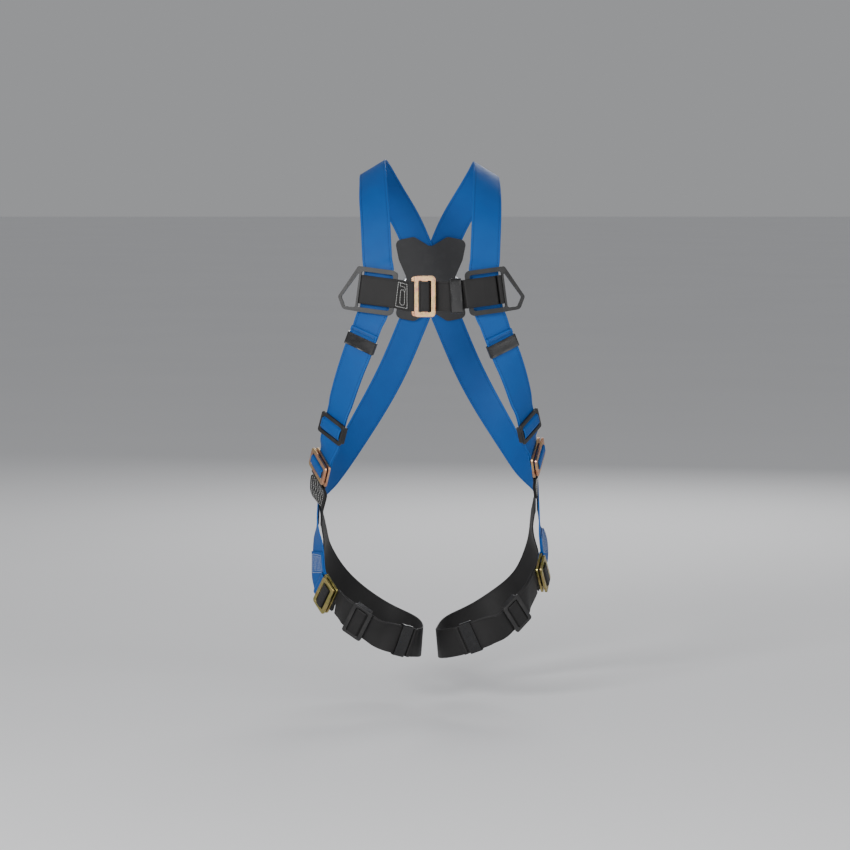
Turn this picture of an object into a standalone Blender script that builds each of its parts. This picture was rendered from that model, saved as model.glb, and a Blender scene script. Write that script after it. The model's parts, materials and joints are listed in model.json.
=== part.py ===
"""Full-body safety harness in the shape it takes when worn, without the wearer.

The wearer faces -Y and stands along Z, so the wearer's left is +X. The origin lies between the two
shoulder straps, level with the top of the shoulders. Straps are ribbons swept along routes on the body;
every metal or plastic piece sits on a route, in a place with three directions: along the strap, across
it, and out of its face.
"""
import math

import bmesh
import bpy
import numpy as np
from mathutils import Matrix, Vector

MM = 0.001

# Webbing: 45 mm wide everywhere, 2 mm thick, with a small gap between touching layers.
WEB_WIDTH = 45 * MM
WEB_THICK = 2 * MM
GAP = 0.3 * MM
LAYER = WEB_THICK + GAP
STRAP_STEP = 7 * MM   # layers of one strap share these steps, so that they stay parallel
CHEST_WEB_IN_FRAME = 43 * MM
WRAP_RADIUS = 1.6 * MM

# Pass-through buckles: a female frame, and a male plate with two slots that lies over it.
BUCKLE_THICK = 3.5 * MM
FEMALE_LENGTH = 60 * MM
FEMALE_DEPTH = 36 * MM
FEMALE_WINDOW = (47.5 * MM, 22 * MM)
FEMALE_SHIFT = 1.65 * MM
FEMALE_BASE = LAYER + WEB_THICK / 2 + 2 * GAP
MALE_LENGTH = 61.6 * MM
MALE_DEPTH = 31.3 * MM
MALE_WINDOW = (46.6 * MM, 18.7 * MM)
MALE_BAR = 9 * MM
ROLL_WIDTH = 44 * MM
MALE_BASE = FEMALE_BASE + BUCKLE_THICK + WEB_THICK + 2 * GAP
BUCKLE_CORNER = 5 * MM

# Three-bar adjusters.
SLIDE_LENGTH = 56 * MM
SLIDE_DEPTH = 34 * MM
SLIDE_WINDOW = (46.4 * MM, 21.4 * MM)
SLIDE_THICK = 3.6 * MM
SLIDE_BASE = LAYER + WEB_THICK / 2 + 2 * GAP
LEG_SLIDE_FLAT = 20 * MM
LEG_SLIDE_EASE = 24 * MM
LEG_SLIDE_AHEAD = 3 * MM   # the leg adjuster's stretch reaches further to the crotch than to the buckle
SLIDE_FLAT = 28 * MM   # half of the straight stretch that an adjuster travels on
SLIDE_BAR = 6 * MM
SLIDE_BAR_THICK = 2.1 * MM

# Keepers: bands round two layers of webbing.
KEEPER_WALL = 1.6 * MM
KEEPER_LENGTH = 19 * MM
KEEPER_PLAY = 0.9 * MM
KEEPER_FLAT = 19 * MM

# Chest frames: a window for the webbing, with a triangular eye on its outer side.
FRAME_THICK = 4.5 * MM
FRAME_BASE = LAYER + WEB_THICK / 2 + GAP
FRAME_WINDOW = (46.5 * MM, 53.8 * MM)
FRAME_TOP_BAR = 7 * MM
FRAME_CENTRE_BAR = 6.6 * MM
FRAME_OUTER_SIDE = 25.2 * MM   # from the middle of the frame to the eye side of its window
FRAME_EYE_BAR = 3.2 * MM

# Dorsal plate and D-ring, on the back.
PLATE_PLACE = (0, 118 * MM, -175 * MM)
PLATE_THICK = 3 * MM
BRIDGE_AT = 50 * MM
RING_THICK = 8 * MM
RING_LIFT = 12.3 * MM
RING_HALF_WIDTH = 44 * MM
RING_LEG = 20 * MM
KNUCKLE_INSIDE = 29.5 * MM
KNUCKLE_THICK = 5 * MM
KNUCKLE_BORE = 5.3 * MM

# Colours, as linear values.
BLUE = (0.012, 0.115, 0.42)
BLACK_WEB = (0.016, 0.016, 0.018)
BLACK_METAL = (0.012, 0.012, 0.013)
BLACK_PLASTIC = (0.014, 0.014, 0.015)
GOLD = (0.72, 0.42, 0.26)
STEEL = (0.60, 0.61, 0.63)

# Routes. Each station is x outward from the middle, y, z in millimetres, then the heading that the
# strap's face looks to (0 front, 90 the wearer's side, 180 back) and how far it looks up, in degrees.
SHOULDER_BACK = [
    (0, 118, -175, 180, 0),
    (21, 118, -123, 180, 0),
    (38, 116, -85, 178, 8),
    (60, 102, -47, 164, 26),
    (78, 72, -15, 138, 44),
]
TORSO = {
    "right": SHOULDER_BACK + [
        (88.6, 20, 0, 90, 59),
        (88, -30, -17, 39, 50),
        (86.5, -65, -44, 18, 37),
        (84, -88, -73, 10, 24),
        (82, -104, -107, 8, 17),
        (80, -116, -148, 8, 8),
        (81, -120, -183, 10, 2),
        (89.5, -119, -218, 16, -2),
        (103.5, -114, -258, 24, -7),
        (120, -104.5, -303, 34, -10),
        (138, -88.5, -362, 46, -11),
        (146, -79, -392, 53, -10),
        (154.5, -67, -425, 63, -9),
        (161, -56, -452, 71, -8),
        (167, -40, -483, 70, -6),
        (168, -31, -506, 85, -2),
        (168, -20, -532, 90, 0),
        (168, -12, -550, 90, 0),
    ],
    "left": SHOULDER_BACK + [
        (84.5, 20, -3, 90, 59),
        (85, -30, -20, 39, 50),
        (84.5, -65, -46, 18, 37),
        (83.5, -88, -73, 10, 24),
        (82, -104, -107, 8, 17),
        (80.5, -116, -148, 8, 8),
        (82, -120, -183, 10, 2),
        (90, -119, -218, 16, -2),
        (105.5, -113.5, -262, 24, -7),
        (121.5, -103, -303, 36, -10),
        (137, -85, -355, 51, -11),
        (145.5, -72, -389, 62, -10),
        (151, -57.5, -415, 72, -8),
        (155, -43, -439, 80, -6),
        (159, -22, -473, 82, -4),
        (160, -10, -495, 88, -1),
        (160, 0, -515, 90, 0),
        (160, 8, -533, 90, 0),
    ],
}
TORSO_STOPS = {  # heights of what rides on the front of each torso route, in millimetres
    "right": {"frame": -183, "keeper": -261, "adjuster": -392, "buckle": -452, "crossing": -532},
    "left": {"frame": -183, "keeper": -265, "adjuster": -389, "buckle": -439, "crossing": -515},
}
TORSO_FLATS = {"frame": 30 * MM, "keeper": KEEPER_FLAT, "adjuster": SLIDE_FLAT, "buckle": 22 * MM,
               "crossing": 12 * MM}
BACK = [
    (12, 118, -205, 180, 0),
    (24.5, 118, -235, 180, 0),
    (41, 118, -275, 177, 0),
    (60, 116, -318, 172, 0),
    (90, 109, -374, 160, 0),
    (122, 90, -427, 143, 0),
    (150, 57, -472, 118, 0),
]
BACK_END = {
    "right": [(167, 19, -503, 92, 0), (168, -5, -521, 90, 0), (168, -20, -532, 90, 0),
              (168, -28, -553, 90, 0), (165.5, -34, -590, 78, -4)],
    "left": [(159, 36, -489, 92, 0), (160, 15, -504, 90, 0), (160, 0, -515, 90, 0),
             (160, -6, -536, 90, 0), (161, -7, -560, 87, 0)],
}
LEG_BACK = {
    "right": [(168, -30, -512, 90, 0), (168, -20, -532, 90, 0), (168, -8, -552, 90, 0),
              (164, 22, -588, 108, -5)],
    "left": [(160, -10, -495, 90, 0), (160, 0, -515, 90, 0), (160, 11, -536, 90, 0),
             (160, 36, -576, 110, -5)],
}
LEG_UNDER = [
    (145, 66, -640, 142, -12),
    (110, 93, -680, 172, -18),
    (70, 92, -706, -160, -20),
    (36, 70, -719, -135, -16),
    (18, 34, -726, -108, -8),
]
LEG_FRONT = {
    "right": [(14, -8, -728, -86, -4), (19, -48, -724, -62, -6), (41, -82, -716, -35, -10),
              (56.5, -91, -710.5, -22, -11), (82, -97, -701, 0, -18), (96, -95.5, -692, 12, -21),
              (109, -92, -683.5, 20, -21), (130, -80, -669, 40, -16)],
    "left": [(10.5, -8, -729, -86, -4), (14, -48, -726, -60, -6), (36, -77, -718.5, -36, -10),
             (58.5, -89, -710, -20, -11), (88, -97, -697, 0, -14), (113, -94, -684, 22, -18),
             (127, -88, -671.5, 33, -20), (147, -66, -648.5, 55, -12)],
}
# Leg buckles: middle at webbing level, way to the crotch across the plates, their face, and the way
# the leg strap takes below them, which is flatter.
LEG_BUCKLE = {
    "right": ((154, -50, -648), (-0.50, -0.50, -0.70), (0.82, -0.55, -0.17), (-0.52, -0.70, -0.49)),
    "left": ((164, -20, -621), (-0.20, -0.64, -0.74), (0.95, -0.25, -0.02), (-0.25, -0.85, -0.46)),
}
LEG_STOPS = {"right": {"adjuster": 109, "keeper": 44}, "left": {"adjuster": 127, "keeper": 61}}
LEG_START = 12 * MM
# Straight ends of the webbing at each leg buckle, as distances from its middle.
LEG_LOOP_STRAIGHT = {"right": (-22, -14), "left": (-32, -22, -14)}
LEG_STRAP_STRAIGHT = {"right": (13, 9, 5, 0), "left": (18, 11, 5, 0)}
LOOP_DOUBLED = 52 * MM   # length of the sewn double layer above each leg buckle
CHEST_BUCKLE = (-9.3 * MM, -126 * MM, -190 * MM)
CHEST_KEEPER_AT = -44 * MM   # from the chest buckle, along the adjustable half
CHEST_KEEPER_LENGTH = 14 * MM
CHEST_KEEPER_ROOM = 1.2 * MM
SIDE_SIGN = {"left": 1, "right": -1}


# ---------------------------------------------------------------- places and routes

class Place:
    """A spot on the harness: origin, s along the strap, w across it and n out of its face."""

    def __init__(self, origin, along, face):
        self.origin = Vector(origin)
        self.s = Vector(along).normalized()
        face = Vector(face)
        self.n = (face - self.s * face.dot(self.s)).normalized()
        self.w = self.n.cross(self.s)

    def point(self, s, w, n):
        return self.origin + self.s * s + self.w * w + self.n * n

    def matrix(self):
        columns = Matrix((self.s, self.w, self.n)).transposed().to_4x4()
        return Matrix.Translation(self.origin) @ columns

    def moved(self, s=0.0, w=0.0, n=0.0):
        return Place(self.point(s, w, n), self.s, self.n)

    def reversed(self):
        return Place(self.origin, -self.s, self.n)


def facing(side, heading, rise):
    """Unit vector that looks to a heading and a rise on one side of the wearer."""
    heading, rise = math.radians(heading), math.radians(rise)
    level = math.cos(rise)
    return Vector((SIDE_SIGN[side] * math.sin(heading) * level, -math.cos(heading) * level, math.sin(rise)))


def station_rows(side, stations):
    """Stations as rows of position in metres and facing."""
    rows = []
    for x, y, z, heading, rise in stations:
        rows.append([SIDE_SIGN[side] * x * MM, y * MM, z * MM, *facing(side, heading, rise)])
    return rows


def natural_spline(knots, values, wanted):
    """Smooth curve through the rows of values at the knots, read at the wanted parameters."""
    gaps = np.diff(knots)
    count = len(knots)
    system = np.eye(count)
    right = np.zeros_like(values)
    for i in range(1, count - 1):
        system[i, i - 1:i + 2] = gaps[i - 1], 2 * (gaps[i - 1] + gaps[i]), gaps[i]
        right[i] = 6 * ((values[i + 1] - values[i]) / gaps[i] - (values[i] - values[i - 1]) / gaps[i - 1])
    bends = np.linalg.solve(system, right)
    k = np.clip(np.searchsorted(knots, wanted, side="right") - 1, 0, count - 2)
    b = ((wanted - knots[k]) / gaps[k])[:, None]
    a = 1 - b
    curved = ((a ** 3 - a) * bends[k] + (b ** 3 - b) * bends[k + 1]) * (gaps[k] ** 2)[:, None] / 6
    return a * values[k] + b * values[k + 1] + curved


def travelled(points):
    """Distance along a row of points, from the first one."""
    steps = np.linalg.norm(np.diff(points, axis=0), axis=1)
    return np.concatenate(([0.0], np.cumsum(steps)))


class Route:
    """A smooth line on the wearer, read by distance along it."""

    def __init__(self, rows):
        rows = np.array(rows, dtype=float)
        knots = travelled(rows[:, :3])
        self.rows = natural_spline(knots, rows, np.linspace(0, knots[-1], 40 * len(rows)))
        self.arc = travelled(self.rows[:, :3])
        self.length = self.arc[-1]

    def read(self, distance):
        return np.array([np.interp(distance, self.arc, column) for column in self.rows.T])

    def place(self, distance):
        reach = 1 * MM
        before = self.read(max(distance - reach, 0))[:3]
        after = self.read(min(distance + reach, self.length))[:3]
        row = self.read(distance)
        return Place(row[:3], after - before, row[3:])

    def flatten(self, distance, half, ease=14 * MM):
        """Make the route straight and untwisted within half of a distance, easing back outside it."""
        here = self.place(distance)
        away = np.maximum(np.abs(self.arc - distance) - half, 0) / ease
        t = np.minimum(away, 1)[:, None]
        keep = t * t * (3 - 2 * t)
        straight = np.array([[*here.point(arc - distance, 0, 0), *here.n] for arc in self.arc])
        self.rows = keep * self.rows + (1 - keep) * straight
        self.arc = travelled(self.rows[:, :3])
        self.length = self.arc[-1]

    def find(self, axis, value, start=0.0):
        """Distance of the last point, from start on, that comes nearest to a coordinate value."""
        after = self.arc >= start
        away = np.where(after, np.abs(self.rows[:, axis] - value), np.inf)
        return float(self.arc[len(away) - 1 - int(np.argmin(away[::-1]))])


# ---------------------------------------------------------------- materials and objects

def material(name, colour, roughness, metallic):
    mat = bpy.data.materials.new(name)
    mat.use_nodes = True
    shader = mat.node_tree.nodes["Principled BSDF"]
    shader.inputs["Base Color"].default_value = (*colour, 1)
    shader.inputs["Roughness"].default_value = roughness
    shader.inputs["Metallic"].default_value = metallic
    mat.diffuse_color = (*colour, 1)
    return mat


FINISH = {  # roughness and metallic value of each kind of piece
    "webbing": (0.85, 0.0),
    "coated": (0.45, 0.6),
    "plastic": (0.4, 0.0),
    "plated": (0.3, 1.0),
}


def add_object(name, bm, colour, finish, matrix=None, parent=None):
    """Closed mesh as a named object, with its own material, placed by a matrix."""
    bmesh.ops.recalc_face_normals(bm, faces=bm.faces[:])
    mesh = bpy.data.meshes.new(name)
    bm.to_mesh(mesh)
    bm.free()
    mesh.shade_smooth()
    mesh.set_sharp_from_angle(angle=math.radians(35))
    obj = bpy.data.objects.new(name, mesh)
    bpy.context.collection.objects.link(obj)
    mesh.materials.append(material(name, colour, *FINISH[finish]))
    if parent is not None:
        obj.parent = parent
        obj.matrix_parent_inverse = Matrix.Translation(parent.location).inverted()
    if matrix is not None:
        obj.matrix_basis = matrix
    return obj


def add_bevel(obj, width, segments=2):
    bevel = obj.modifiers.new("edges", "BEVEL")
    bevel.width = width
    bevel.segments = segments
    bevel.limit_method = "ANGLE"
    bevel.angle_limit = math.radians(40)
    return bevel


# ---------------------------------------------------------------- ribbons

def ribbon(name, centres, across, colour, outs=None, widths=None, closed=False, parent=None, about=None):
    """Flat webbing swept through centres; across is its width direction at each, outs its face."""
    count = len(centres)
    widths = widths or [WEB_WIDTH] * count
    bm = bmesh.new()
    rings = []
    for i in range(count):
        if closed:
            tangent = centres[(i + 1) % count] - centres[i - 1]
        else:
            tangent = centres[min(i + 1, count - 1)] - centres[max(i - 1, 0)]
        tangent.normalize()
        side = across[i].normalized() * widths[i] / 2
        out = tangent.cross(side) if outs is None else outs[i]
        out = out.normalized() * WEB_THICK / 2
        corners = (side + out, side - out, -side - out, out - side)
        rings.append([bm.verts.new(centres[i] + corner) for corner in corners])
    # Both faces are split on the same diagonal, so that two layers stay parallel where they twist.
    for i in range(count if closed else count - 1):
        a, b = rings[i], rings[(i + 1) % count]
        for quad in ((a[0], a[1], b[1], b[0]), (a[2], a[3], b[3], b[2])):
            bm.faces.new(quad)
        for corners in ((a[1], a[2], b[2]), (a[1], b[2], b[1]), (a[3], a[0], b[3]), (a[0], b[0], b[3])):
            bm.faces.new(corners)
    if not closed:
        bm.faces.new(rings[0])
        bm.faces.new(rings[-1])
    matrix = None
    if about is not None:
        bmesh.ops.transform(bm, matrix=about.matrix().inverted(), verts=bm.verts[:])
        matrix = about.matrix()
    return add_object(name, bm, colour, "webbing", matrix=matrix, parent=parent)


def layer(route, start, stop, lift=0.0):
    """Places along a route between two distances; lift raises them off it, and may be a function."""
    first, last = math.floor(start / STRAP_STEP + 0.4) + 1, math.ceil(stop / STRAP_STEP - 0.4)
    places = []
    for distance in [start, *(k * STRAP_STEP for k in range(first, last)), stop]:
        height = lift(distance) if callable(lift) else lift
        places.append(route.place(distance).moved(n=height))
    return places


def strap(name, route, start, stop, colour, lift=0.0, parent=None):
    """One layer of webbing along a route."""
    places = layer(route, start, stop, lift)
    return ribbon(name, [p.origin for p in places], [p.w for p in places], colour,
                  outs=[p.n for p in places], parent=parent)


def filleted(corners, radius, steps=3):
    """Points of a polyline with its inner corners rounded; each corner is a tuple that starts with x, y, z."""
    rows = [np.array(c, dtype=float) for c in corners]
    result = [rows[0]]
    for before, here, after in zip(rows, rows[1:], rows[2:]):
        back, ahead = before - here, after - here
        reach_back, reach_ahead = np.linalg.norm(back[:3]), np.linalg.norm(ahead[:3])
        cosine = np.dot(back[:3], ahead[:3]) / (reach_back * reach_ahead)
        half = math.acos(max(-1.0, min(1.0, cosine))) / 2
        cut = min(radius / max(math.tan(half), 1e-6), 0.48 * reach_back, 0.48 * reach_ahead)
        if cut < 0.05 * MM:
            result.append(here)
            continue
        first, last = here + back * cut / reach_back, here + ahead * cut / reach_ahead
        weight = math.sin(half)
        for step in range(steps + 1):
            t = step / steps
            share = np.array([(1 - t) ** 2, 2 * weight * t * (1 - t), t ** 2])
            result.append((share[0] * first + share[1] * here + share[2] * last) / share.sum())
    result.append(rows[-1])
    return result


# ---------------------------------------------------------------- plates

def rounded(corners, radius, steps=3):
    """Closed outline with each corner rounded; corners are (a, b) or (a, b, own radius)."""
    count = len(corners)
    outline = []
    for i, corner in enumerate(corners):
        own = corner[2] if len(corner) > 2 else radius
        here = Vector(corner[:2])
        back = Vector(corners[i - 1][:2]) - here
        ahead = Vector(corners[(i + 1) % count][:2]) - here
        half = back.angle(ahead) / 2
        cut = min(own / math.tan(half), back.length * 0.49, ahead.length * 0.49)
        turn = cut * math.tan(half)
        centre = here + (back.normalized() + ahead.normalized()).normalized() * math.hypot(cut, turn)
        first = here + back.normalized() * cut - centre
        last = here + ahead.normalized() * cut - centre
        sweep = first.angle_signed(last)
        for step in range(steps + 1):
            angle = -sweep * step / steps
            spun = Matrix.Rotation(angle, 2) @ first
            outline.append(centre + spun)
    return outline


def rectangle(length, depth, radius, shift=0.0, steps=3):
    """Rounded rectangle in (s, w): depth along s about shift, length along w."""
    s, w = depth / 2, length / 2
    corners = [(shift - s, -w), (shift + s, -w), (shift + s, w), (shift - s, w)]
    return rounded(corners, radius, steps)


def slab(outline, holes, low, high, turn=None):
    """Closed bmesh of an outline with holes, from low to high; turn maps its three axes elsewhere."""
    bm = bmesh.new()
    for loop in [outline, *holes]:
        verts = [bm.verts.new((p[0], p[1], low)) for p in loop]
        for i, vert in enumerate(verts):
            bm.edges.new((vert, verts[(i + 1) % len(verts)]))
    bmesh.ops.triangle_fill(bm, use_beauty=True, use_dissolve=False, edges=bm.edges[:])
    grown = bmesh.ops.extrude_face_region(bm, geom=bm.faces[:])
    raised = [item for item in grown["geom"] if isinstance(item, bmesh.types.BMVert)]
    bmesh.ops.translate(bm, verts=raised, vec=(0, 0, high - low))
    if turn is not None:
        bmesh.ops.transform(bm, matrix=turn, verts=bm.verts[:])
    return bm


def shifted(bm, vector):
    bmesh.ops.translate(bm, verts=bm.verts[:], vec=vector)
    return bm


# ---------------------------------------------------------------- hardware

def buckle(prefix, place, webbing, parent=None):
    """Female frame and male plate; place.s points to the female frame's strap."""
    frame = slab(rectangle(FEMALE_LENGTH, FEMALE_DEPTH, BUCKLE_CORNER, FEMALE_SHIFT),
                 [rectangle(*FEMALE_WINDOW, 1.2 * MM, FEMALE_SHIFT)], FEMALE_BASE, FEMALE_BASE + BUCKLE_THICK)
    obj = add_object(f"{prefix}_buckle_female", frame, GOLD, "plated", place.matrix(), parent)
    add_bevel(obj, 0.7 * MM)
    slot = (MALE_WINDOW[1] - MALE_BAR) / 2
    slot_at = (MALE_BAR + slot) / 2
    slots = [rectangle(MALE_WINDOW[0], slot, 1.2 * MM, side * slot_at) for side in (-1, 1)]
    hinge = place.moved(s=-MALE_DEPTH / 2, n=MALE_BASE)
    plate = slab(rectangle(MALE_LENGTH, MALE_DEPTH, BUCKLE_CORNER), slots, 0, BUCKLE_THICK)
    obj = add_object(f"{prefix}_buckle_male", shifted(plate, (MALE_DEPTH / 2, 0, 0)), GOLD, "plated",
                     hinge.matrix(), parent)
    add_bevel(obj, 0.7 * MM)
    webbing_roll(f"{prefix}_buckle_webbing", place, hinge, webbing, parent)


def webbing_roll(name, place, hinge, colour, parent):
    """Webbing turned once round the male plate's middle bar."""
    middle = MALE_BASE + BUCKLE_THICK / 2
    radius = BUCKLE_THICK / 2 + 2 * GAP + WEB_THICK / 2
    straight = MALE_BAR / 2 - 1 * MM
    centres = []
    for side, first in ((1, -90), (-1, 90)):
        for step in range(7):
            angle = math.radians(first + 30 * step)
            s = side * straight + radius * math.cos(angle)
            centres.append(place.point(s, 0, middle + radius * math.sin(angle)))
    ribbon(name, centres, [place.w] * len(centres), colour, widths=[ROLL_WIDTH] * len(centres), closed=True,
           parent=parent, about=hinge)


def adjuster(prefix, place, colour, parent=None):
    """Three-bar slide, and the hump of webbing that it carries over its middle bar."""
    rim = slab(rectangle(SLIDE_LENGTH, SLIDE_DEPTH, 4 * MM), [rectangle(*SLIDE_WINDOW, 2.5 * MM)],
               SLIDE_BASE, SLIDE_BASE + SLIDE_THICK)
    obj = add_object(f"{prefix}_adjuster", rim, BLACK_PLASTIC, "plastic", place.matrix(), parent)
    half = SLIDE_WINDOW[0] / 2 + 1.5 * MM
    bar = slab(rounded([(-SLIDE_BAR / 2, -half), (SLIDE_BAR / 2, -half), (SLIDE_BAR / 2, half),
                        (-SLIDE_BAR / 2, half)], 0.8 * MM, 1), [], SLIDE_BASE + 0.4 * MM,
               SLIDE_BASE + SLIDE_BAR_THICK)
    bar_obj = add_object(f"{prefix}_adjuster_bar_guide", bar, BLACK_PLASTIC, "plastic", place.matrix(), parent)
    bar_obj.hide_render = True
    bar_obj.display_type = "WIRE"
    union = obj.modifiers.new("middle bar", "BOOLEAN")
    union.operation = "UNION"
    union.solver = "EXACT"
    union.object = bar_obj
    add_bevel(obj, 0.8 * MM, 1)
    low = SLIDE_BASE + WEB_THICK / 2 + 0.2 * MM
    high = SLIDE_BASE + SLIDE_BAR_THICK + 3 * GAP + WEB_THICK / 2
    end, crest = SLIDE_WINDOW[1] / 2 - 0.5 * MM, SLIDE_BAR / 2 + 1.8 * MM
    foot = crest + 3.4 * MM
    profile = [(-end, low), (-foot, low), (-crest, high), (crest, high), (foot, low), (end, low)]
    corners = [tuple(place.point(s, 0, n)) for s, n in profile]
    centres = [Vector(row) for row in filleted(corners, 2.2 * MM, 2)]
    ribbon(f"{prefix}_adjuster_webbing", centres, [place.w] * len(centres), colour,
           widths=[ROLL_WIDTH] * len(centres), parent=parent, about=place)


def keeper(name, place, top, parent=None, length=KEEPER_LENGTH, width=WEB_WIDTH):
    """Band round the layers of webbing; top is the height of the highest layer's face."""
    low = -WEB_THICK / 2 - KEEPER_PLAY
    high = top + KEEPER_PLAY
    half = width / 2 + 2 * GAP
    inner = rounded([(-half, low), (half, low), (half, high), (-half, high)], 0.8 * MM, 2)
    outer = rounded([(-half - KEEPER_WALL, low - KEEPER_WALL), (half + KEEPER_WALL, low - KEEPER_WALL),
                     (half + KEEPER_WALL, high + KEEPER_WALL), (-half - KEEPER_WALL, high + KEEPER_WALL)],
                    2.2 * MM, 2)
    # The band's outline lies across the strap, so its axes (a, b, c) become (w, n, s).
    turn = Matrix(((0, 0, 1), (1, 0, 0), (0, 1, 0))).to_4x4()
    bm = slab(outer, [inner], -length / 2, length / 2, turn)
    return add_object(name, bm, BLACK_PLASTIC, "plastic", place.matrix(), parent)


def chest_frame(side, place):
    """Window frame with a triangular eye; u runs outward and v up the strap."""
    out = SIDE_SIGN[side] * (1 if place.w.x > 0 else -1)
    u, v = FRAME_WINDOW[0] / 2, FRAME_WINDOW[1] / 2
    top = v + FRAME_TOP_BAR
    outline = [(-u - FRAME_CENTRE_BAR, top, 8 * MM), (31.5 * MM, top, 4 * MM), (56.5 * MM, -15 * MM, 5 * MM),
               (47 * MM, -top + 1 * MM, 8 * MM), (20 * MM, -top, 20 * MM), (-u - FRAME_CENTRE_BAR, -top, 8 * MM)]
    window = [(-u, v), (FRAME_OUTER_SIDE, v), (FRAME_OUTER_SIDE, -v), (-u, -v)]
    bar = FRAME_OUTER_SIDE + FRAME_EYE_BAR
    eye = [(bar, 26 * MM, 1.2 * MM), (51.2 * MM, -15 * MM), (43.5 * MM, -28 * MM), (bar, -28 * MM)]

    def local(points):
        return [(-b, out * a) for a, b in points]

    bm = slab(local(rounded(outline, 5 * MM, 4)),
              [local(rounded(window, 3 * MM, 3)), local(rounded(eye, 3 * MM, 3))],
              FRAME_BASE, FRAME_BASE + FRAME_THICK)
    obj = add_object(f"chest_frame_{side}", bm, BLACK_METAL, "coated", place.matrix())
    add_bevel(obj, 1.1 * MM)
    return out


def chest_turn(frame, out, buckle_place):
    """Where the chest strap turns from its own line to the frame's: half way between the two."""
    middle = buckle_place.point(CHEST_KEEPER_AT, 0, 0)
    return Place(middle, buckle_place.s - out * frame.w, buckle_place.n + frame.n)


def chest_strap(side, frame, out, buckle_place):
    """Half of the chest strap: round its shoulder strap and frame bar, and to its half of the buckle."""
    behind = -LAYER
    front = FRAME_BASE + FRAME_THICK + GAP + WEB_THICK / 2
    eye_side = FRAME_OUTER_SIDE - 1.3 * GAP - WEB_THICK / 2
    centre_side = FRAME_WINDOW[0] / 2 + FRAME_CENTRE_BAR
    narrow = CHEST_WEB_IN_FRAME
    toward = 1 if side == "right" else -1   # the female half runs to +s of the buckle, the male half to -s

    def at_frame(u, n):
        return (*frame.point(0, out * u, n), *(-frame.s), narrow)

    def at_buckle(s, n):
        return (*buckle_place.point(s, 0, n), *(-buckle_place.w), WEB_WIDTH)

    def at_turn(turn, s, n):
        return (*turn.point(s, 0, n), *(-turn.w), WEB_WIDTH)

    turn_back = [at_frame(-centre_side - 3.5 * MM, behind), at_frame(eye_side, behind), at_frame(eye_side, front),
                 at_frame(-centre_side - 1.5 * MM, front)]
    if side == "right":
        bar = FEMALE_SHIFT + FEMALE_WINDOW[1] / 2 - GAP - WEB_THICK / 2
        over = FEMALE_BASE + BUCKLE_THICK + GAP + WEB_THICK / 2
        edge = FEMALE_SHIFT + FEMALE_DEPTH / 2
        corners = [at_frame(-centre_side - 8 * MM, behind), *turn_back, at_buckle(edge + 9 * MM, 2 * LAYER),
                   at_buckle(edge + 3 * MM, over), at_buckle(bar, over), at_buckle(bar, LAYER),
                   at_buckle(30 * MM, LAYER)]
    else:
        end = toward * -4 * MM
        turn = chest_turn(frame, out, buckle_place)
        reach = CHEST_KEEPER_LENGTH / 2 + CHEST_KEEPER_ROOM
        first = CHEST_KEEPER_AT + reach + 8 * MM
        corners = [at_buckle(end, 0), at_buckle(first, 0), at_turn(turn, reach, 0), at_turn(turn, -reach, 0),
                   *turn_back, at_turn(turn, -reach, LAYER), at_turn(turn, reach, LAYER),
                   at_buckle(first, LAYER), at_buckle(end, LAYER)]
    rows = filleted(corners, WRAP_RADIUS)
    centres = [Vector(row[:3]) for row in rows]
    across = [Vector(row[3:6]) for row in rows]
    ribbon(f"chest_strap_{side}", centres, across, BLACK_WEB, widths=[row[6] for row in rows])


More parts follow.
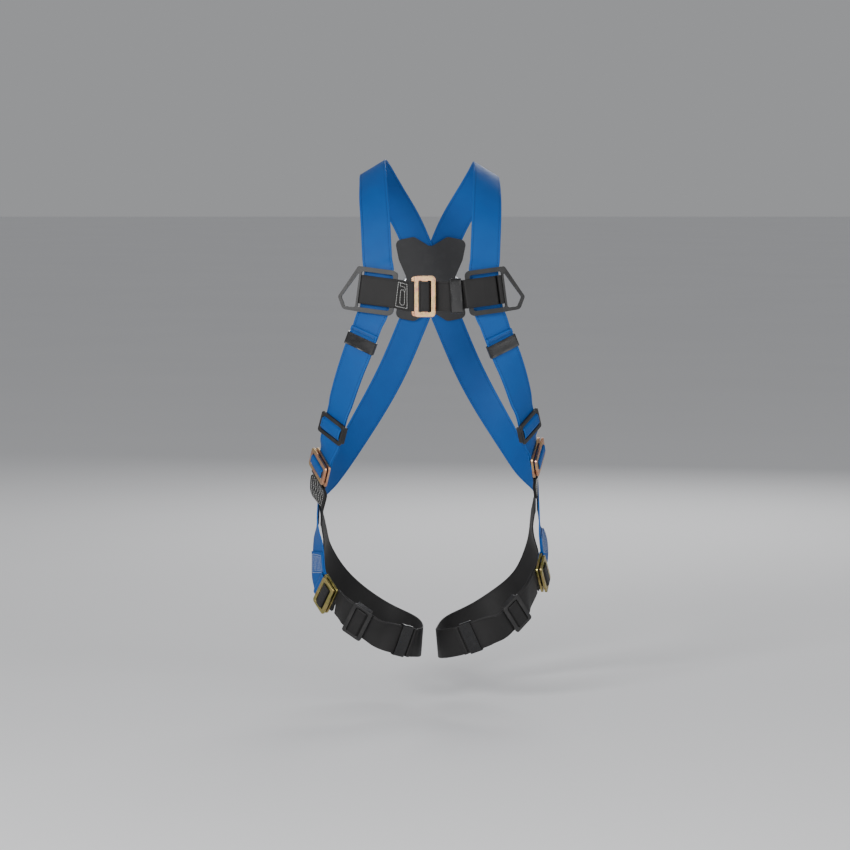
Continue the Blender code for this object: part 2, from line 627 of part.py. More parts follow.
def dorsal_plate(place):
    """Plastic plate under the crossing, with two bridges over the straps and two knuckles for the ring."""
    half = [(-50, 0, 10), (-66, 26, 9), (-60, 56, 9), (-30, 50, 16), (0, 37, 16), (30, 50, 16), (60, 56, 9),
            (66, 26, 9), (50, 0, 10)]
    mirrored = [(s, -w, radius) for s, w, radius in half[-2:0:-1]]
    corners = [(s * MM, w * MM, radius * MM) for s, w, radius in half + mirrored]
    top = -WEB_THICK / 2 - GAP
    plate = slab(rounded(corners, 9 * MM), [], top - PLATE_THICK, top)
    obj = add_object("dorsal_plate", plate, BLACK_PLASTIC, "plastic", place.matrix())
    guides = []
    under = LAYER + WEB_THICK / 2 + 4 * GAP
    inside, outside, roof = 48 * MM, 52.5 * MM, under + 3 * MM
    arch = [(-outside, top - 1 * MM), (-outside, roof), (outside, roof), (outside, top - 1 * MM),
            (inside, top - 1 * MM), (inside, under), (-inside, under), (-inside, top - 1 * MM)]
    across = Matrix(((0, 0, 1), (1, 0, 0), (0, 1, 0))).to_4x4()
    for sign in (-1, 1):
        shape = slab([Vector(p) for p in arch], [], sign * BRIDGE_AT - 5 * MM, sign * BRIDGE_AT + 5 * MM, across)
        guides.append(add_object(f"bridge_guide_{sign}", shape, BLACK_PLASTIC, "plastic", place.matrix()))
    # A knuckle's outline lies along the strap, so its axes (a, b, c) become (s, n, w).
    upright = Matrix(((1, 0, 0), (0, 0, 1), (0, 1, 0))).to_4x4()
    crown = RING_LIFT + KNUCKLE_BORE + 3 * MM
    post = [(-8.5 * MM, top - 1 * MM, 0.2 * MM), (8.5 * MM, top - 1 * MM, 0.2 * MM), (8.5 * MM, crown, 7 * MM),
            (-8.5 * MM, crown, 7 * MM)]
    bore = [(KNUCKLE_BORE * math.cos(a), RING_LIFT + KNUCKLE_BORE * math.sin(a))
            for a in np.linspace(0, 2 * math.pi, 16, endpoint=False)]
    for sign in (-1, 1):
        inner, outer = sorted((sign * KNUCKLE_INSIDE, sign * (KNUCKLE_INSIDE + KNUCKLE_THICK)))
        shape = slab(rounded(post, 1 * MM), [[Vector(p) for p in bore]], inner, outer, upright)
        guides.append(add_object(f"knuckle_guide_{sign}", shape, BLACK_PLASTIC, "plastic", place.matrix()))
    for guide in guides:
        guide.hide_render = True
        guide.display_type = "WIRE"
        union = obj.modifiers.new(guide.name, "BOOLEAN")
        union.operation = "UNION"
        union.solver = "EXACT"
        union.object = guide


def dorsal_ring(place):
    """Forged D-ring that hangs from the knuckles; its straight bar is the hinge."""
    hinge = place.moved(n=RING_LIFT)
    bar, wide = RING_THICK / 2, RING_HALF_WIDTH
    steps = 16
    outer = [(-bar, -wide + 2 * MM), (-bar + 2 * MM, -wide)]
    inner_wide = wide - RING_THICK - 1 * MM
    outer += [(RING_LEG + wide * math.sin(a), -wide * math.cos(a)) for a in np.linspace(0, math.pi, steps)]
    outer += [(-bar + 2 * MM, wide), (-bar, wide - 2 * MM)]
    inner = [(bar, -inner_wide)]
    inner += [(RING_LEG + inner_wide * math.sin(a), -inner_wide * math.cos(a))
              for a in np.linspace(0, math.pi, steps)]
    inner += [(bar, inner_wide)]
    bm = slab([Vector(p) for p in outer], [[Vector(p) for p in inner]], -bar, bar)
    obj = add_object("dorsal_ring", bm, STEEL, "plated", hinge.matrix())
    add_bevel(obj, 1.4 * MM)


# ---------------------------------------------------------------- the harness

def raised_near(middle, lift, hold=0.05, fade=0.05):
    """Lift by distance: held on both sides of a spot, then faded out smoothly."""
    def height(distance):
        t = min(1.0, max(0.0, (abs(distance - middle) - hold) / fade))
        return lift * (1 - t * t * (3 - 2 * t))
    return height


def build_side(side, chest_place):
    sign = SIDE_SIGN[side]
    torso = Route(station_rows(side, TORSO[side]))
    for key, half in TORSO_FLATS.items():
        torso.flatten(torso.find(2, TORSO_STOPS[side][key] * MM, 0.3), half)
    stops = {key: torso.find(2, z * MM, 0.3) for key, z in TORSO_STOPS[side].items()}
    end = stops["buckle"] + 4 * MM
    over = raised_near(0.0, LAYER if side == "left" else 0.0, hold=0.075)
    strap(f"shoulder_strap_{side}", torso, GAP, end, BLUE, lift=over)
    hem = stops["keeper"] - 19 * MM
    strap(f"strap_tail_{side}", torso, hem, end, BLUE, lift=LAYER)
    out = chest_frame(side, torso.place(stops["frame"]))
    chest_strap(side, torso.place(stops["frame"]), out, chest_place)
    if side == "left":
        keeper("chest_keeper", chest_turn(torso.place(stops["frame"]), out, chest_place),
               LAYER + WEB_THICK / 2 + CHEST_KEEPER_ROOM, length=CHEST_KEEPER_LENGTH,
               width=WEB_WIDTH + 2 * CHEST_KEEPER_ROOM)
    keeper(f"torso_keeper_{side}", torso.place(stops["keeper"]), LAYER + WEB_THICK / 2)
    adjuster(f"torso_{side}", torso.place(stops["adjuster"]), BLUE)
    buckle(f"torso_{side}", torso.place(stops["buckle"]), BLUE)
    hip_strap(side, torso, stops)

    pivot = torso.place(stops["crossing"])
    leg = bpy.data.objects.new(f"leg_pivot_{side}", None)
    leg.location = pivot.origin
    bpy.context.collection.objects.link(leg)

    middle, across_plates, face, strap_way = [Vector((sign * x, y, z)) for x, y, z in LEG_BUCKLE[side]]
    leg_buckle = Place(middle * MM, across_plates, face)
    strap_place = Place(middle * MM, strap_way - leg_buckle.n * strap_way.dot(leg_buckle.n), leg_buckle.n)

    def straight(place, *distances):
        return [[*place.point(d * MM, 0, 0), *place.n] for d in distances]

    other = "left" if side == "right" else "right"
    start = station_rows(side, [(0, 118, -175, 180, 0)])
    blue = Route(start + station_rows(side, BACK + BACK_END[side])
                 + straight(leg_buckle, *LEG_LOOP_STRAIGHT[side]))
    at_hip = blue.find(2, TORSO_STOPS[side]["crossing"] * MM, 0.3)
    near_plate = raised_near(0.0, LAYER if other == "left" else 0.0, hold=0.075)
    near_hip = raised_near(at_hip, 2.1 * LAYER)
    strap(f"back_strap_{side}", blue, GAP, at_hip + 8 * MM, BLUE, lift=lambda d: near_plate(d) + near_hip(d))
    hip_loop(side, blue, at_hip, leg_buckle.reversed(), leg)

    black = Route(station_rows(side, LEG_BACK[side] + LEG_UNDER + LEG_FRONT[side])
                  + straight(strap_place, *LEG_STRAP_STRAIGHT[side]))
    front = black.length * 0.5
    for key, half, ahead, ease in (("adjuster", LEG_SLIDE_FLAT, LEG_SLIDE_AHEAD, LEG_SLIDE_EASE),
                                   ("keeper", KEEPER_FLAT, 0, 14 * MM)):
        black.flatten(black.find(0, sign * LEG_STOPS[side][key] * MM, front) - ahead, half, ease)
    at = {key: black.find(0, sign * x * MM, front) for key, x in LEG_STOPS[side].items()}
    leg_strap(side, black, leg)
    strap(f"leg_strap_tail_{side}", black, at["keeper"] - 19 * MM, black.length, BLACK_WEB, lift=LAYER,
          parent=leg)
    keeper(f"leg_keeper_{side}", black.place(at["keeper"]), LAYER + WEB_THICK / 2, parent=leg)
    adjuster(f"leg_{side}", black.place(at["adjuster"]), BLACK_WEB, parent=leg)
    buckle(f"leg_{side}", leg_buckle.reversed(), BLACK_WEB, parent=leg)


def round_female_bar(place, above, below):
    """Points and width directions of webbing turned round the female frame's bar, upper layer first."""
    bar = FEMALE_SHIFT + FEMALE_WINDOW[1] / 2 - GAP - WEB_THICK / 2
    over = FEMALE_BASE + BUCKLE_THICK + GAP + WEB_THICK / 2
    edge = FEMALE_SHIFT + FEMALE_DEPTH / 2
    corners = [(above, 2 * LAYER), (edge + 3.5 * MM, over), (bar, over), (bar, LAYER), (below, LAYER)]
    rows = filleted([(*place.point(s, 0, n), *place.w) for s, n in corners], WRAP_RADIUS)
    return [Vector(row[:3]) for row in rows], [Vector(row[3:]) for row in rows]


def hip_strap(side, torso, stops):
    """Black webbing: round the female frame's bar, sewn to itself, and on to the hip crossing."""
    centres, across = round_female_bar(torso.place(stops["buckle"]), 34 * MM, 30 * MM)
    first = stops["buckle"] + 36 * MM
    for here in layer(torso, first, stops["crossing"] + 12 * MM,
                      lambda d: LAYER * max(0.0, 1 - (d - first) / (12 * MM))):
        centres.append(here.origin)
        across.append(here.w)
    ribbon(f"hip_strap_{side}", centres, across, BLACK_WEB)


def hip_loop(side, blue, at_hip, leg_buckle, leg):
    """Blue webbing below the crossing: round the leg buckle's female frame and back up, doubled."""
    over = raised_near(at_hip, 2.2 * LAYER)
    centres, across = round_female_bar(leg_buckle, 28 * MM, 20 * MM)
    near = blue.length - 8 * MM
    upper = layer(blue, near - LOOP_DOUBLED, near - 9 * MM, lambda d: over(d) + 2 * LAYER)
    lower = layer(blue, at_hip - 8 * MM, near, lambda d: over(d) + LAYER)
    lower.reverse()
    centres = [p.origin for p in upper] + centres + [p.origin for p in lower]
    across = [p.w for p in upper] + across + [p.w for p in lower]
    ribbon(f"hip_loop_{side}", centres, across, BLUE, parent=leg)


def leg_strap(side, black, leg):
    """Black webbing from under the crossing, behind the thigh, through the crotch and to the buckle."""
    under = raised_near(LEG_START, -1.6 * LAYER)
    strap(f"leg_strap_{side}", black, LEG_START, black.length, BLACK_WEB, lift=under, parent=leg)


def main():
    for obj in list(bpy.data.objects):
        bpy.data.objects.remove(obj)
    dorsal = Place(PLATE_PLACE, (0, 0, -1), (0, 1, 0))
    dorsal_plate(dorsal)
    dorsal_ring(dorsal)
    chest_place = Place(CHEST_BUCKLE, (-1, 0, 0), (0, -1, 0))
    buckle("chest", chest_place, BLACK_WEB)
    for side in ("left", "right"):
        build_side(side, chest_place)


main()
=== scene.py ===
"""The looks of the full-body safety harness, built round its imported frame.

Webbing runs along the same routes as the frame's straps, but in one continuous band wherever the real
webbing is continuous. The frame's plain plates are replaced by ones with rounded rims, ribs and lips.
"""
import json
import math

import bmesh
import bpy
import numpy as np
from mathutils import Matrix, Vector

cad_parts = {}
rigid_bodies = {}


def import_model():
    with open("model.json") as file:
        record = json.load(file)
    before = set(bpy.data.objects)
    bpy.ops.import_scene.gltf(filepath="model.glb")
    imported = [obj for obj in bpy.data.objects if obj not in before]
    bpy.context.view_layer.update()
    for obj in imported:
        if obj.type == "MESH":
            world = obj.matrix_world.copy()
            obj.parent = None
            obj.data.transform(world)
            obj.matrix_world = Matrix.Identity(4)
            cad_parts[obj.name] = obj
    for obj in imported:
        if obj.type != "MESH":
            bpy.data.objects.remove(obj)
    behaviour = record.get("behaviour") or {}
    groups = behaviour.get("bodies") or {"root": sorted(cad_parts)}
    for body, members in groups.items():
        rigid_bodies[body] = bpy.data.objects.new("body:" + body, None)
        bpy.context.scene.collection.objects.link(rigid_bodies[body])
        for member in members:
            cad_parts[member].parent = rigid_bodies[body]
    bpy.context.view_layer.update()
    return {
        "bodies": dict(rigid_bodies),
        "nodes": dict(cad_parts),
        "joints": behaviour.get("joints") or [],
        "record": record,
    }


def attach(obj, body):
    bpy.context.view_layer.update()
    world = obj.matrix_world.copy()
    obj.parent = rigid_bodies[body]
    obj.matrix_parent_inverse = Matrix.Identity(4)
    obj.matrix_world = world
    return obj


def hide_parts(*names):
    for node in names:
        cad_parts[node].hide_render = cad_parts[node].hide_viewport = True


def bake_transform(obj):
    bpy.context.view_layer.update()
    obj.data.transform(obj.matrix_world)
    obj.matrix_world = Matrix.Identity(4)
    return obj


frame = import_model()

MM = 0.001

# Webbing: 45 mm wide everywhere, 2 mm thick, with a small gap between touching layers.
WEB_WIDTH = 45 * MM
WEB_THICK = 2 * MM
GAP = 0.3 * MM
LAYER = WEB_THICK + GAP
CHEST_WEB_IN_FRAME = 43 * MM
TURN_RADIUS = 1.9 * MM   # of webbing turned round a bar

# Pass-through buckles: a female frame, and a male plate with two slots that lies over it.
BUCKLE_THICK = 3.5 * MM
FEMALE_LENGTH = 60 * MM
FEMALE_DEPTH = 36 * MM
FEMALE_WINDOW = (47.5 * MM, 22 * MM)
FEMALE_SHIFT = 1.65 * MM
FEMALE_BASE = LAYER + WEB_THICK / 2 + 2 * GAP
MALE_LENGTH = 61.6 * MM
MALE_DEPTH = 31.3 * MM
MALE_WINDOW = (46.6 * MM, 18.7 * MM)
MALE_BAR = 9 * MM
ROLL_ACROSS = MALE_WINDOW[0] - 1.2 * MM   # webbing squeezed into the male window
MALE_BASE = FEMALE_BASE + BUCKLE_THICK + WEB_THICK + 2 * GAP
BUCKLE_CORNER = 5 * MM

# Three-bar adjusters.
SLIDE_LENGTH = 56 * MM
SLIDE_DEPTH = 34 * MM
SLIDE_WINDOW = (46.4 * MM, 21.4 * MM)
SLIDE_THICK = 3.6 * MM
SLIDE_BASE = LAYER + WEB_THICK / 2 + 2 * GAP
LEG_SLIDE_FLAT = 20 * MM
LEG_SLIDE_EASE = 24 * MM
LEG_SLIDE_AHEAD = 3 * MM   # the leg adjuster's stretch reaches further to the crotch than to the buckle
SLIDE_FLAT = 28 * MM   # half of the straight stretch that an adjuster travels on
SLIDE_BAR = 6 * MM
SLIDE_BAR_THICK = 2.1 * MM
LUG_REACH = 13.5 * MM   # half of the length of the ends that wrap the webbing
LUG_INSET = 0.8 * MM
LUG_PROUD = 0.5 * MM
LUG_HEIGHT = 2.6 * MM
HUMP_WIDTH = 45.4 * MM   # webbing over the bar: its flat top ends at the crest, its slopes at the foot
HUMP_CREST = 6.6 * MM
HUMP_FOOT = 8.6 * MM

# Keepers: bands round two layers of webbing.
KEEPER_WALL = 1.6 * MM
KEEPER_LENGTH = 19 * MM
KEEPER_PLAY = 0.9 * MM
KEEPER_CROWN = 0.35 * MM   # rise of its faces in the middle
KEEPER_RIPPLE = 0.22 * MM   # unevenness of its two rims
LIP_FROM = 0.72   # share of the half length where the rolled lip starts
KEEPER_FLAT = 19 * MM

# Chest frames: a window for the webbing, with a triangular eye on its outer side.
FRAME_THICK = 4.5 * MM
FRAME_BASE = LAYER + WEB_THICK / 2 + GAP
FRAME_WINDOW = (46.5 * MM, 53.8 * MM)
FRAME_TOP_BAR = 7 * MM
FRAME_CENTRE_BAR = 6.6 * MM
FRAME_OUTER_SIDE = 25.2 * MM   # from the middle of the frame to the eye side of its window
FRAME_EYE_BAR = 3.2 * MM
RIDGES = 16
RIDGE_START = 9 * MM   # along the eye's outer bar, from its upper corner
RIDGE_PITCH = 1.7 * MM
RIDGE_HALF = (0.4 * MM, 1.7 * MM)
RIDGE_HEIGHT = 0.3 * MM

# Dorsal plate and D-ring, on the back.
PLATE_PLACE = (0, 118 * MM, -175 * MM)
PLATE_THICK = 3 * MM
BRIDGE_AT = 50 * MM
RING_THICK = 8 * MM
RING_LIFT = 12.3 * MM
RING_HALF_WIDTH = 44 * MM
RING_LEG = 20 * MM
KNUCKLE_INSIDE = 29.5 * MM
KNUCKLE_THICK = 5 * MM
KNUCKLE_BORE = 5.3 * MM
KNUCKLE_WIDTH = 17 * MM

# Routes. Each station is x outward from the middle, y, z in millimetres, then the heading that the
# strap's face looks to (0 front, 90 the wearer's side, 180 back) and how far it looks up, in degrees.
SHOULDER_BACK = [
    (0, 118, -175, 180, 0),
    (21, 118, -123, 180, 0),
    (38, 116, -85, 178, 8),
    (60, 102, -47, 164, 26),
    (78, 72, -15, 138, 44),
]
TORSO = {
    "right": SHOULDER_BACK + [
        (88.6, 20, 0, 90, 59),
        (88, -30, -17, 39, 50),
        (86.5, -65, -44, 18, 37),
        (84, -88, -73, 10, 24),
        (82, -104, -107, 8, 17),
        (80, -116, -148, 8, 8),
        (81, -120, -183, 10, 2),
        (89.5, -119, -218, 16, -2),
        (103.5, -114, -258, 24, -7),
        (120, -104.5, -303, 34, -10),
        (138, -88.5, -362, 46, -11),
        (146, -79, -392, 53, -10),
        (154.5, -67, -425, 63, -9),
        (161, -56, -452, 71, -8),
        (167, -40, -483, 70, -6),
        (168, -31, -506, 85, -2),
        (168, -20, -532, 90, 0),
        (168, -12, -550, 90, 0),
    ],
    "left": SHOULDER_BACK + [
        (84.5, 20, -3, 90, 59),
        (85, -30, -20, 39, 50),
        (84.5, -65, -46, 18, 37),
        (83.5, -88, -73, 10, 24),
        (82, -104, -107, 8, 17),
        (80.5, -116, -148, 8, 8),
        (82, -120, -183, 10, 2),
        (90, -119, -218, 16, -2),
        (105.5, -113.5, -262, 24, -7),
        (121.5, -103, -303, 36, -10),
        (137, -85, -355, 51, -11),
        (145.5, -72, -389, 62, -10),
        (151, -57.5, -415, 72, -8),
        (155, -43, -439, 80, -6),
        (159, -22, -473, 82, -4),
        (160, -10, -495, 88, -1),
        (160, 0, -515, 90, 0),
        (160, 8, -533, 90, 0),
    ],
}
TORSO_STOPS = {  # heights of what rides on the front of each torso route, in millimetres
    "right": {"frame": -183, "keeper": -261, "adjuster": -392, "buckle": -452, "crossing": -532},
    "left": {"frame": -183, "keeper": -265, "adjuster": -389, "buckle": -439, "crossing": -515},
}
TORSO_FLATS = {"frame": 30 * MM, "keeper": KEEPER_FLAT, "adjuster": SLIDE_FLAT, "buckle": 22 * MM,
               "crossing": 12 * MM}
BACK = [
    (12, 118, -205, 180, 0),
    (24.5, 118, -235, 180, 0),
    (41, 118, -275, 177, 0),
    (60, 116, -318, 172, 0),
    (90, 109, -374, 160, 0),
    (122, 90, -427, 143, 0),
    (150, 57, -472, 118, 0),
]
BACK_END = {
    "right": [(167, 19, -503, 92, 0), (168, -5, -521, 90, 0), (168, -20, -532, 90, 0),
              (168, -28, -553, 90, 0), (165.5, -34, -590, 78, -4)],
    "left": [(159, 36, -489, 92, 0), (160, 15, -504, 90, 0), (160, 0, -515, 90, 0),
             (160, -6, -536, 90, 0), (161, -7, -560, 87, 0)],
}
LEG_BACK = {
    "right": [(168, -30, -512, 90, 0), (168, -20, -532, 90, 0), (168, -8, -552, 90, 0),
              (164, 22, -588, 108, -5)],
    "left": [(160, -10, -495, 90, 0), (160, 0, -515, 90, 0), (160, 11, -536, 90, 0),
             (160, 36, -576, 110, -5)],
}
LEG_UNDER = [
    (145, 66, -640, 142, -12),
    (110, 93, -680, 172, -18),
    (70, 92, -706, -160, -20),
    (36, 70, -719, -135, -16),
    (18, 34, -726, -108, -8),
]
LEG_FRONT = {
    "right": [(14, -8, -728, -86, -4), (19, -48, -724, -62, -6), (41, -82, -716, -35, -10),
              (56.5, -91, -710.5, -22, -11), (82, -97, -701, 0, -18), (96, -95.5, -692, 12, -21),
              (109, -92, -683.5, 20, -21), (130, -80, -669, 40, -16)],
    "left": [(10.5, -8, -729, -86, -4), (14, -48, -726, -60, -6), (36, -77, -718.5, -36, -10),
             (58.5, -89, -710, -20, -11), (88, -97, -697, 0, -14), (113, -94, -684, 22, -18),
             (127, -88, -671.5, 33, -20), (147, -66, -648.5, 55, -12)],
}
# Leg buckles: middle at webbing level, way to the crotch across the plates, their face, and the way
# the leg strap takes below them, which is flatter.
LEG_BUCKLE = {
    "right": ((154, -50, -648), (-0.50, -0.50, -0.70), (0.82, -0.55, -0.17), (-0.52, -0.70, -0.49)),
    "left": ((164, -20, -621), (-0.20, -0.64, -0.74), (0.95, -0.25, -0.02), (-0.25, -0.85, -0.46)),
}
LEG_STOPS = {"right": {"adjuster": 109, "keeper": 44}, "left": {"adjuster": 127, "keeper": 61}}
LEG_START = 12 * MM
# Straight ends of the webbing at each leg buckle, as distances from its middle.
LEG_LOOP_STRAIGHT = {"right": (-22, -14), "left": (-32, -22, -14)}
LEG_STRAP_STRAIGHT = {"right": (13, 9, 5, 0), "left": (18, 11, 5, 0)}
LOOP_DOUBLED = 52 * MM   # length of the sewn double layer above each leg buckle
CHEST_BUCKLE = (-9.3 * MM, -126 * MM, -190 * MM)
CHEST_KEEPER_AT = -44 * MM   # from the chest buckle, along the adjustable half
CHEST_KEEPER_LENGTH = 14 * MM
CHEST_KEEPER_ROOM = 1.2 * MM
SOFTENING = 6 * MM   # distance that webbing spreads a change of direction over
TORSO_SOFTENING = 5 * MM
SIDE_SIGN = {"left": 1, "right": -1}


# ---------------------------------------------------------------- places and routes

class Place:
    """A spot on the harness: origin, s along the strap, w across it and n out of its face."""

    def __init__(self, origin, along, face):
        self.origin = Vector(origin)
        self.s = Vector(along).normalized()
        face = Vector(face)
        self.n = (face - self.s * face.dot(self.s)).normalized()
        self.w = self.n.cross(self.s)

    def point(self, s, w, n):
        return self.origin + self.s * s + self.w * w + self.n * n

    def matrix(self):
        columns = Matrix((self.s, self.w, self.n)).transposed().to_4x4()
        return Matrix.Translation(self.origin) @ columns

    def moved(self, s=0.0, w=0.0, n=0.0):
        return Place(self.point(s, w, n), self.s, self.n)

    def reversed(self):
        return Place(self.origin, -self.s, self.n)


def facing(side, heading, rise):
    """Unit vector that looks to a heading and a rise on one side of the wearer."""
    heading, rise = math.radians(heading), math.radians(rise)
    level = math.cos(rise)
    return Vector((SIDE_SIGN[side] * math.sin(heading) * level, -math.cos(heading) * level, math.sin(rise)))


def station_rows(side, stations):
    """Stations as rows of position in metres and facing."""
    rows = []
    for x, y, z, heading, rise in stations:
        rows.append([SIDE_SIGN[side] * x * MM, y * MM, z * MM, *facing(side, heading, rise)])
    return rows


def natural_spline(knots, values, wanted):
    """Smooth curve through the rows of values at the knots, read at the wanted parameters."""
    gaps = np.diff(knots)
    count = len(knots)
    system = np.eye(count)
    right = np.zeros_like(values)
    for i in range(1, count - 1):
        system[i, i - 1:i + 2] = gaps[i - 1], 2 * (gaps[i - 1] + gaps[i]), gaps[i]
        right[i] = 6 * ((values[i + 1] - values[i]) / gaps[i] - (values[i] - values[i - 1]) / gaps[i - 1])
    bends = np.linalg.solve(system, right)
    k = np.clip(np.searchsorted(knots, wanted, side="right") - 1, 0, count - 2)
    b = ((wanted - knots[k]) / gaps[k])[:, None]
    a = 1 - b
    curved = ((a ** 3 - a) * bends[k] + (b ** 3 - b) * bends[k + 1]) * (gaps[k] ** 2)[:, None] / 6
    return a * values[k] + b * values[k + 1] + curved


def travelled(points):
    """Distance along a row of points, from the first one."""
    steps = np.linalg.norm(np.diff(points, axis=0), axis=1)
    return np.concatenate(([0.0], np.cumsum(steps)))


class Route:
    """A smooth line on the wearer, read by distance along it."""

    def __init__(self, rows):
        rows = np.array(rows, dtype=float)
        knots = travelled(rows[:, :3])
        self.rows = natural_spline(knots, rows, np.linspace(0, knots[-1], 40 * len(rows)))
        self.arc = travelled(self.rows[:, :3])
        self.length = self.arc[-1]

    def read(self, distance):
        return np.array([np.interp(distance, self.arc, column) for column in self.rows.T])

    def place(self, distance):
        reach = 1 * MM
        before = self.read(max(distance - reach, 0))[:3]
        after = self.read(min(distance + reach, self.length))[:3]
        row = self.read(distance)
        return Place(row[:3], after - before, row[3:])

    def flatten(self, distance, half, ease=14 * MM):
        """Make the route straight and untwisted within half of a distance, easing back outside it."""
        here = self.place(distance)
        away = np.maximum(np.abs(self.arc - distance) - half, 0) / ease
        t = np.minimum(away, 1)[:, None]
        keep = t * t * (3 - 2 * t)
        straight = np.array([[*here.point(arc - distance, 0, 0), *here.n] for arc in self.arc])
        self.rows = keep * self.rows + (1 - keep) * straight
        self.arc = travelled(self.rows[:, :3])
        self.length = self.arc[-1]

    def find(self, axis, value, start=0.0):
        """Distance of the last point, from start on, that comes nearest to a coordinate value."""
        after = self.arc >= start
        away = np.where(after, np.abs(self.rows[:, axis] - value), np.inf)
        return float(self.arc[len(away) - 1 - int(np.argmin(away[::-1]))])


def filleted(corners, radius, steps=3):
    """Points of a polyline with its inner corners rounded; each corner starts with x, y, z."""
    rows = [np.array(c, dtype=float) for c in corners]
    result = [rows[0]]
    for before, here, after in zip(rows, rows[1:], rows[2:]):
        back, ahead = before - here, after - here
        reach_back, reach_ahead = np.linalg.norm(back[:3]), np.linalg.norm(ahead[:3])
        cosine = np.dot(back[:3], ahead[:3]) / (reach_back * reach_ahead)
        half = math.acos(max(-1.0, min(1.0, cosine))) / 2
        cut = min(radius / max(math.tan(half), 1e-6), 0.48 * reach_back, 0.48 * reach_ahead)
        if cut < 0.05 * MM:
            result.append(here)
            continue
        first, last = here + back * cut / reach_back, here + ahead * cut / reach_ahead
        weight = math.sin(half)
        for step in range(steps + 1):
            t = step / steps
            share = np.array([(1 - t) ** 2, 2 * weight * t * (1 - t), t ** 2])
            result.append((share[0] * first + share[1] * here + share[2] * last) / share.sum())
    result.append(rows[-1])
    return result


# ---------------------------------------------------------------- plates

def rounded(corners, radius, steps=3):
    """Closed outline with each corner rounded; corners are (a, b) or (a, b, own radius)."""
    count = len(corners)
    outline = []
    for i, corner in enumerate(corners):
        own = corner[2] if len(corner) > 2 else radius
        here = Vector(corner[:2])
        back = Vector(corners[i - 1][:2]) - here
        ahead = Vector(corners[(i + 1) % count][:2]) - here
        half = back.angle(ahead) / 2
        cut = min(own / math.tan(half), back.length * 0.49, ahead.length * 0.49)
        turn = cut * math.tan(half)
        centre = here + (back.normalized() + ahead.normalized()).normalized() * math.hypot(cut, turn)
        first = here + back.normalized() * cut - centre
        last = here + ahead.normalized() * cut - centre
        sweep = first.angle_signed(last)
        for step in range(steps + 1):
            angle = -sweep * step / steps
            spun = Matrix.Rotation(angle, 2) @ first
            outline.append(centre + spun)
    return outline


def box(low_a, high_a, low_b, high_b):
    """Corners of a rectangle between two values of each of its coordinates."""
    return [(low_a, low_b), (high_a, low_b), (high_a, high_b), (low_a, high_b)]


def rectangle(length, depth, radius, shift=0.0, steps=3):
    """Rounded rectangle in (s, w): depth along s about shift, length along w."""
    return rounded(box(shift - depth / 2, shift + depth / 2, -length / 2, length / 2), radius, steps)


def slab(outline, holes, low, high, turn=None):
    """Closed bmesh of an outline with holes, from low to high; turn maps its three axes elsewhere."""
    bm = bmesh.new()
    for loop in [outline, *holes]:
        verts = [bm.verts.new((p[0], p[1], low)) for p in loop]
        for i, vert in enumerate(verts):
            bm.edges.new((vert, verts[(i + 1) % len(verts)]))
    bmesh.ops.triangle_fill(bm, use_beauty=True, use_dissolve=False, edges=bm.edges[:])
    grown = bmesh.ops.extrude_face_region(bm, geom=bm.faces[:])
    raised = [item for item in grown["geom"] if isinstance(item, bmesh.types.BMVert)]
    bmesh.ops.translate(bm, verts=raised, vec=(0, 0, high - low))
    if turn is not None:
        bmesh.ops.transform(bm, matrix=turn, verts=bm.verts[:])
    return bm


def chest_turn(frame, out, buckle_place):
    """Where the chest strap turns from its own line to the frame's: half way between the two."""
    middle = buckle_place.point(CHEST_KEEPER_AT, 0, 0)
    return Place(middle, buckle_place.s - out * frame.w, buckle_place.n + frame.n)


def raised_near(middle, lift, hold=0.05, fade=0.05):
    """Lift by distance: held on both sides of a spot, then faded out smoothly."""
    def height(distance):
        t = min(1.0, max(0.0, (abs(distance - middle) - hold) / fade))
        return lift * (1 - t * t * (3 - 2 * t))
    return height


# ---------------------------------------------------------------- materials

